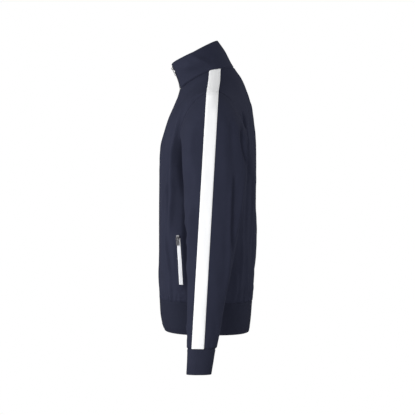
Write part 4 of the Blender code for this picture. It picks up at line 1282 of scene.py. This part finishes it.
Floor = namedtuple("Floor", "radius corners level dark light grain roughness")
FLOOR = Floor(3.0, 96, -1.45, (0.60, 0.60, 0.60), (0.64, 0.64, 0.64), 3.0, 0.8)
Light = namedtuple("Light", "name place power")
LIGHTS = rows_of(
    Light,
    ("key", (3.0, -2.1, 0.1), 73.0),
    ("fill", (3.4, 1.1, 0.1), 38.0),
    ("front_side", (-0.5, -3.3, 0.9), 92.0),
    ("back_side", (-1.2, 2.85, 1.4), 66.0),
)
LIT_POINT = Vector((0.1, 0, -0.3))
LIGHT_SIZE = 1.4
AMBIENT = 0.20  # the white studio's own light on the cloth, where the camera sees it as 1
CAMERA_PLACE, CAMERA_TURN = (3.4, 0.0, -0.320), (math.radians(90), 0.0, math.radians(90))
MM_PER_PIXEL, PICTURE, SENSOR = 2.5, 415, 36.0  # the picture's width is in pixels, the sensor's in mm


def make_floor():
    turns = np.linspace(0, 2 * math.pi, FLOOR.corners, endpoint=False)
    ring = [(FLOOR.radius * math.cos(turn), FLOOR.radius * math.sin(turn), FLOOR.level) for turn in turns]
    mesh = bpy.data.meshes.new("floor")
    mesh.from_pydata(ring, [], [tuple(range(len(ring)))])
    material, tree, shader = new_material("pale_floor", {"Roughness": FLOOR.roughness})
    tree.links.new(blend(tree, noise(tree, FLOOR.grain), FLOOR), shader.inputs["Base Color"])
    mesh.materials.append(material)
    placed("floor", mesh)


def make_lights():
    """Soft round lamps, and a backdrop that is white to the camera and dim to the cloth."""
    scene = bpy.context.scene
    scene.world = scene.world or bpy.data.worlds.new("world")
    scene.world.use_nodes = True
    tree = scene.world.node_tree
    backdrop = tree.nodes["Background"]
    backdrop.inputs["Color"].default_value = (1, 1, 1, 1)
    seen = add(tree, "ShaderNodeLightPath").outputs["Is Camera Ray"]
    tree.links.new(figure(tree, "MULTIPLY_ADD", seen, 1.0 - AMBIENT, AMBIENT), backdrop.inputs["Strength"])
    for light in LIGHTS:
        data = bpy.data.lights.new(light.name, "AREA")
        data.shape, data.size, data.energy = "DISK", LIGHT_SIZE, light.power
        lamp = placed(light.name, data)
        lamp.location = light.place
        lamp.rotation_euler = (LIT_POINT - Vector(light.place)).to_track_quat("-Z", "Y").to_euler()


def make_camera():
    """A level camera on the wearer's left. Its sensor takes in just what the photograph shows."""
    data = bpy.data.cameras.new("camera")
    data.sensor_width = SENSOR
    data.lens = SENSOR * CAMERA_PLACE[0] / (PICTURE * MM_PER_PIXEL * MM)
    camera = placed("camera", data)
    camera.location, camera.rotation_euler = CAMERA_PLACE, CAMERA_TURN
    bpy.context.scene.camera = camera
    bpy.context.scene.view_settings.view_transform = "Standard"


def main():
    make_fronts()
    make_back()
    make_collar()
    make_hem()
    make_sleeves()
    make_pockets()
    make_tapes()
    make_chain()
    dress_hard_pieces()
    make_floor()
    make_lights()
    make_camera()


main()
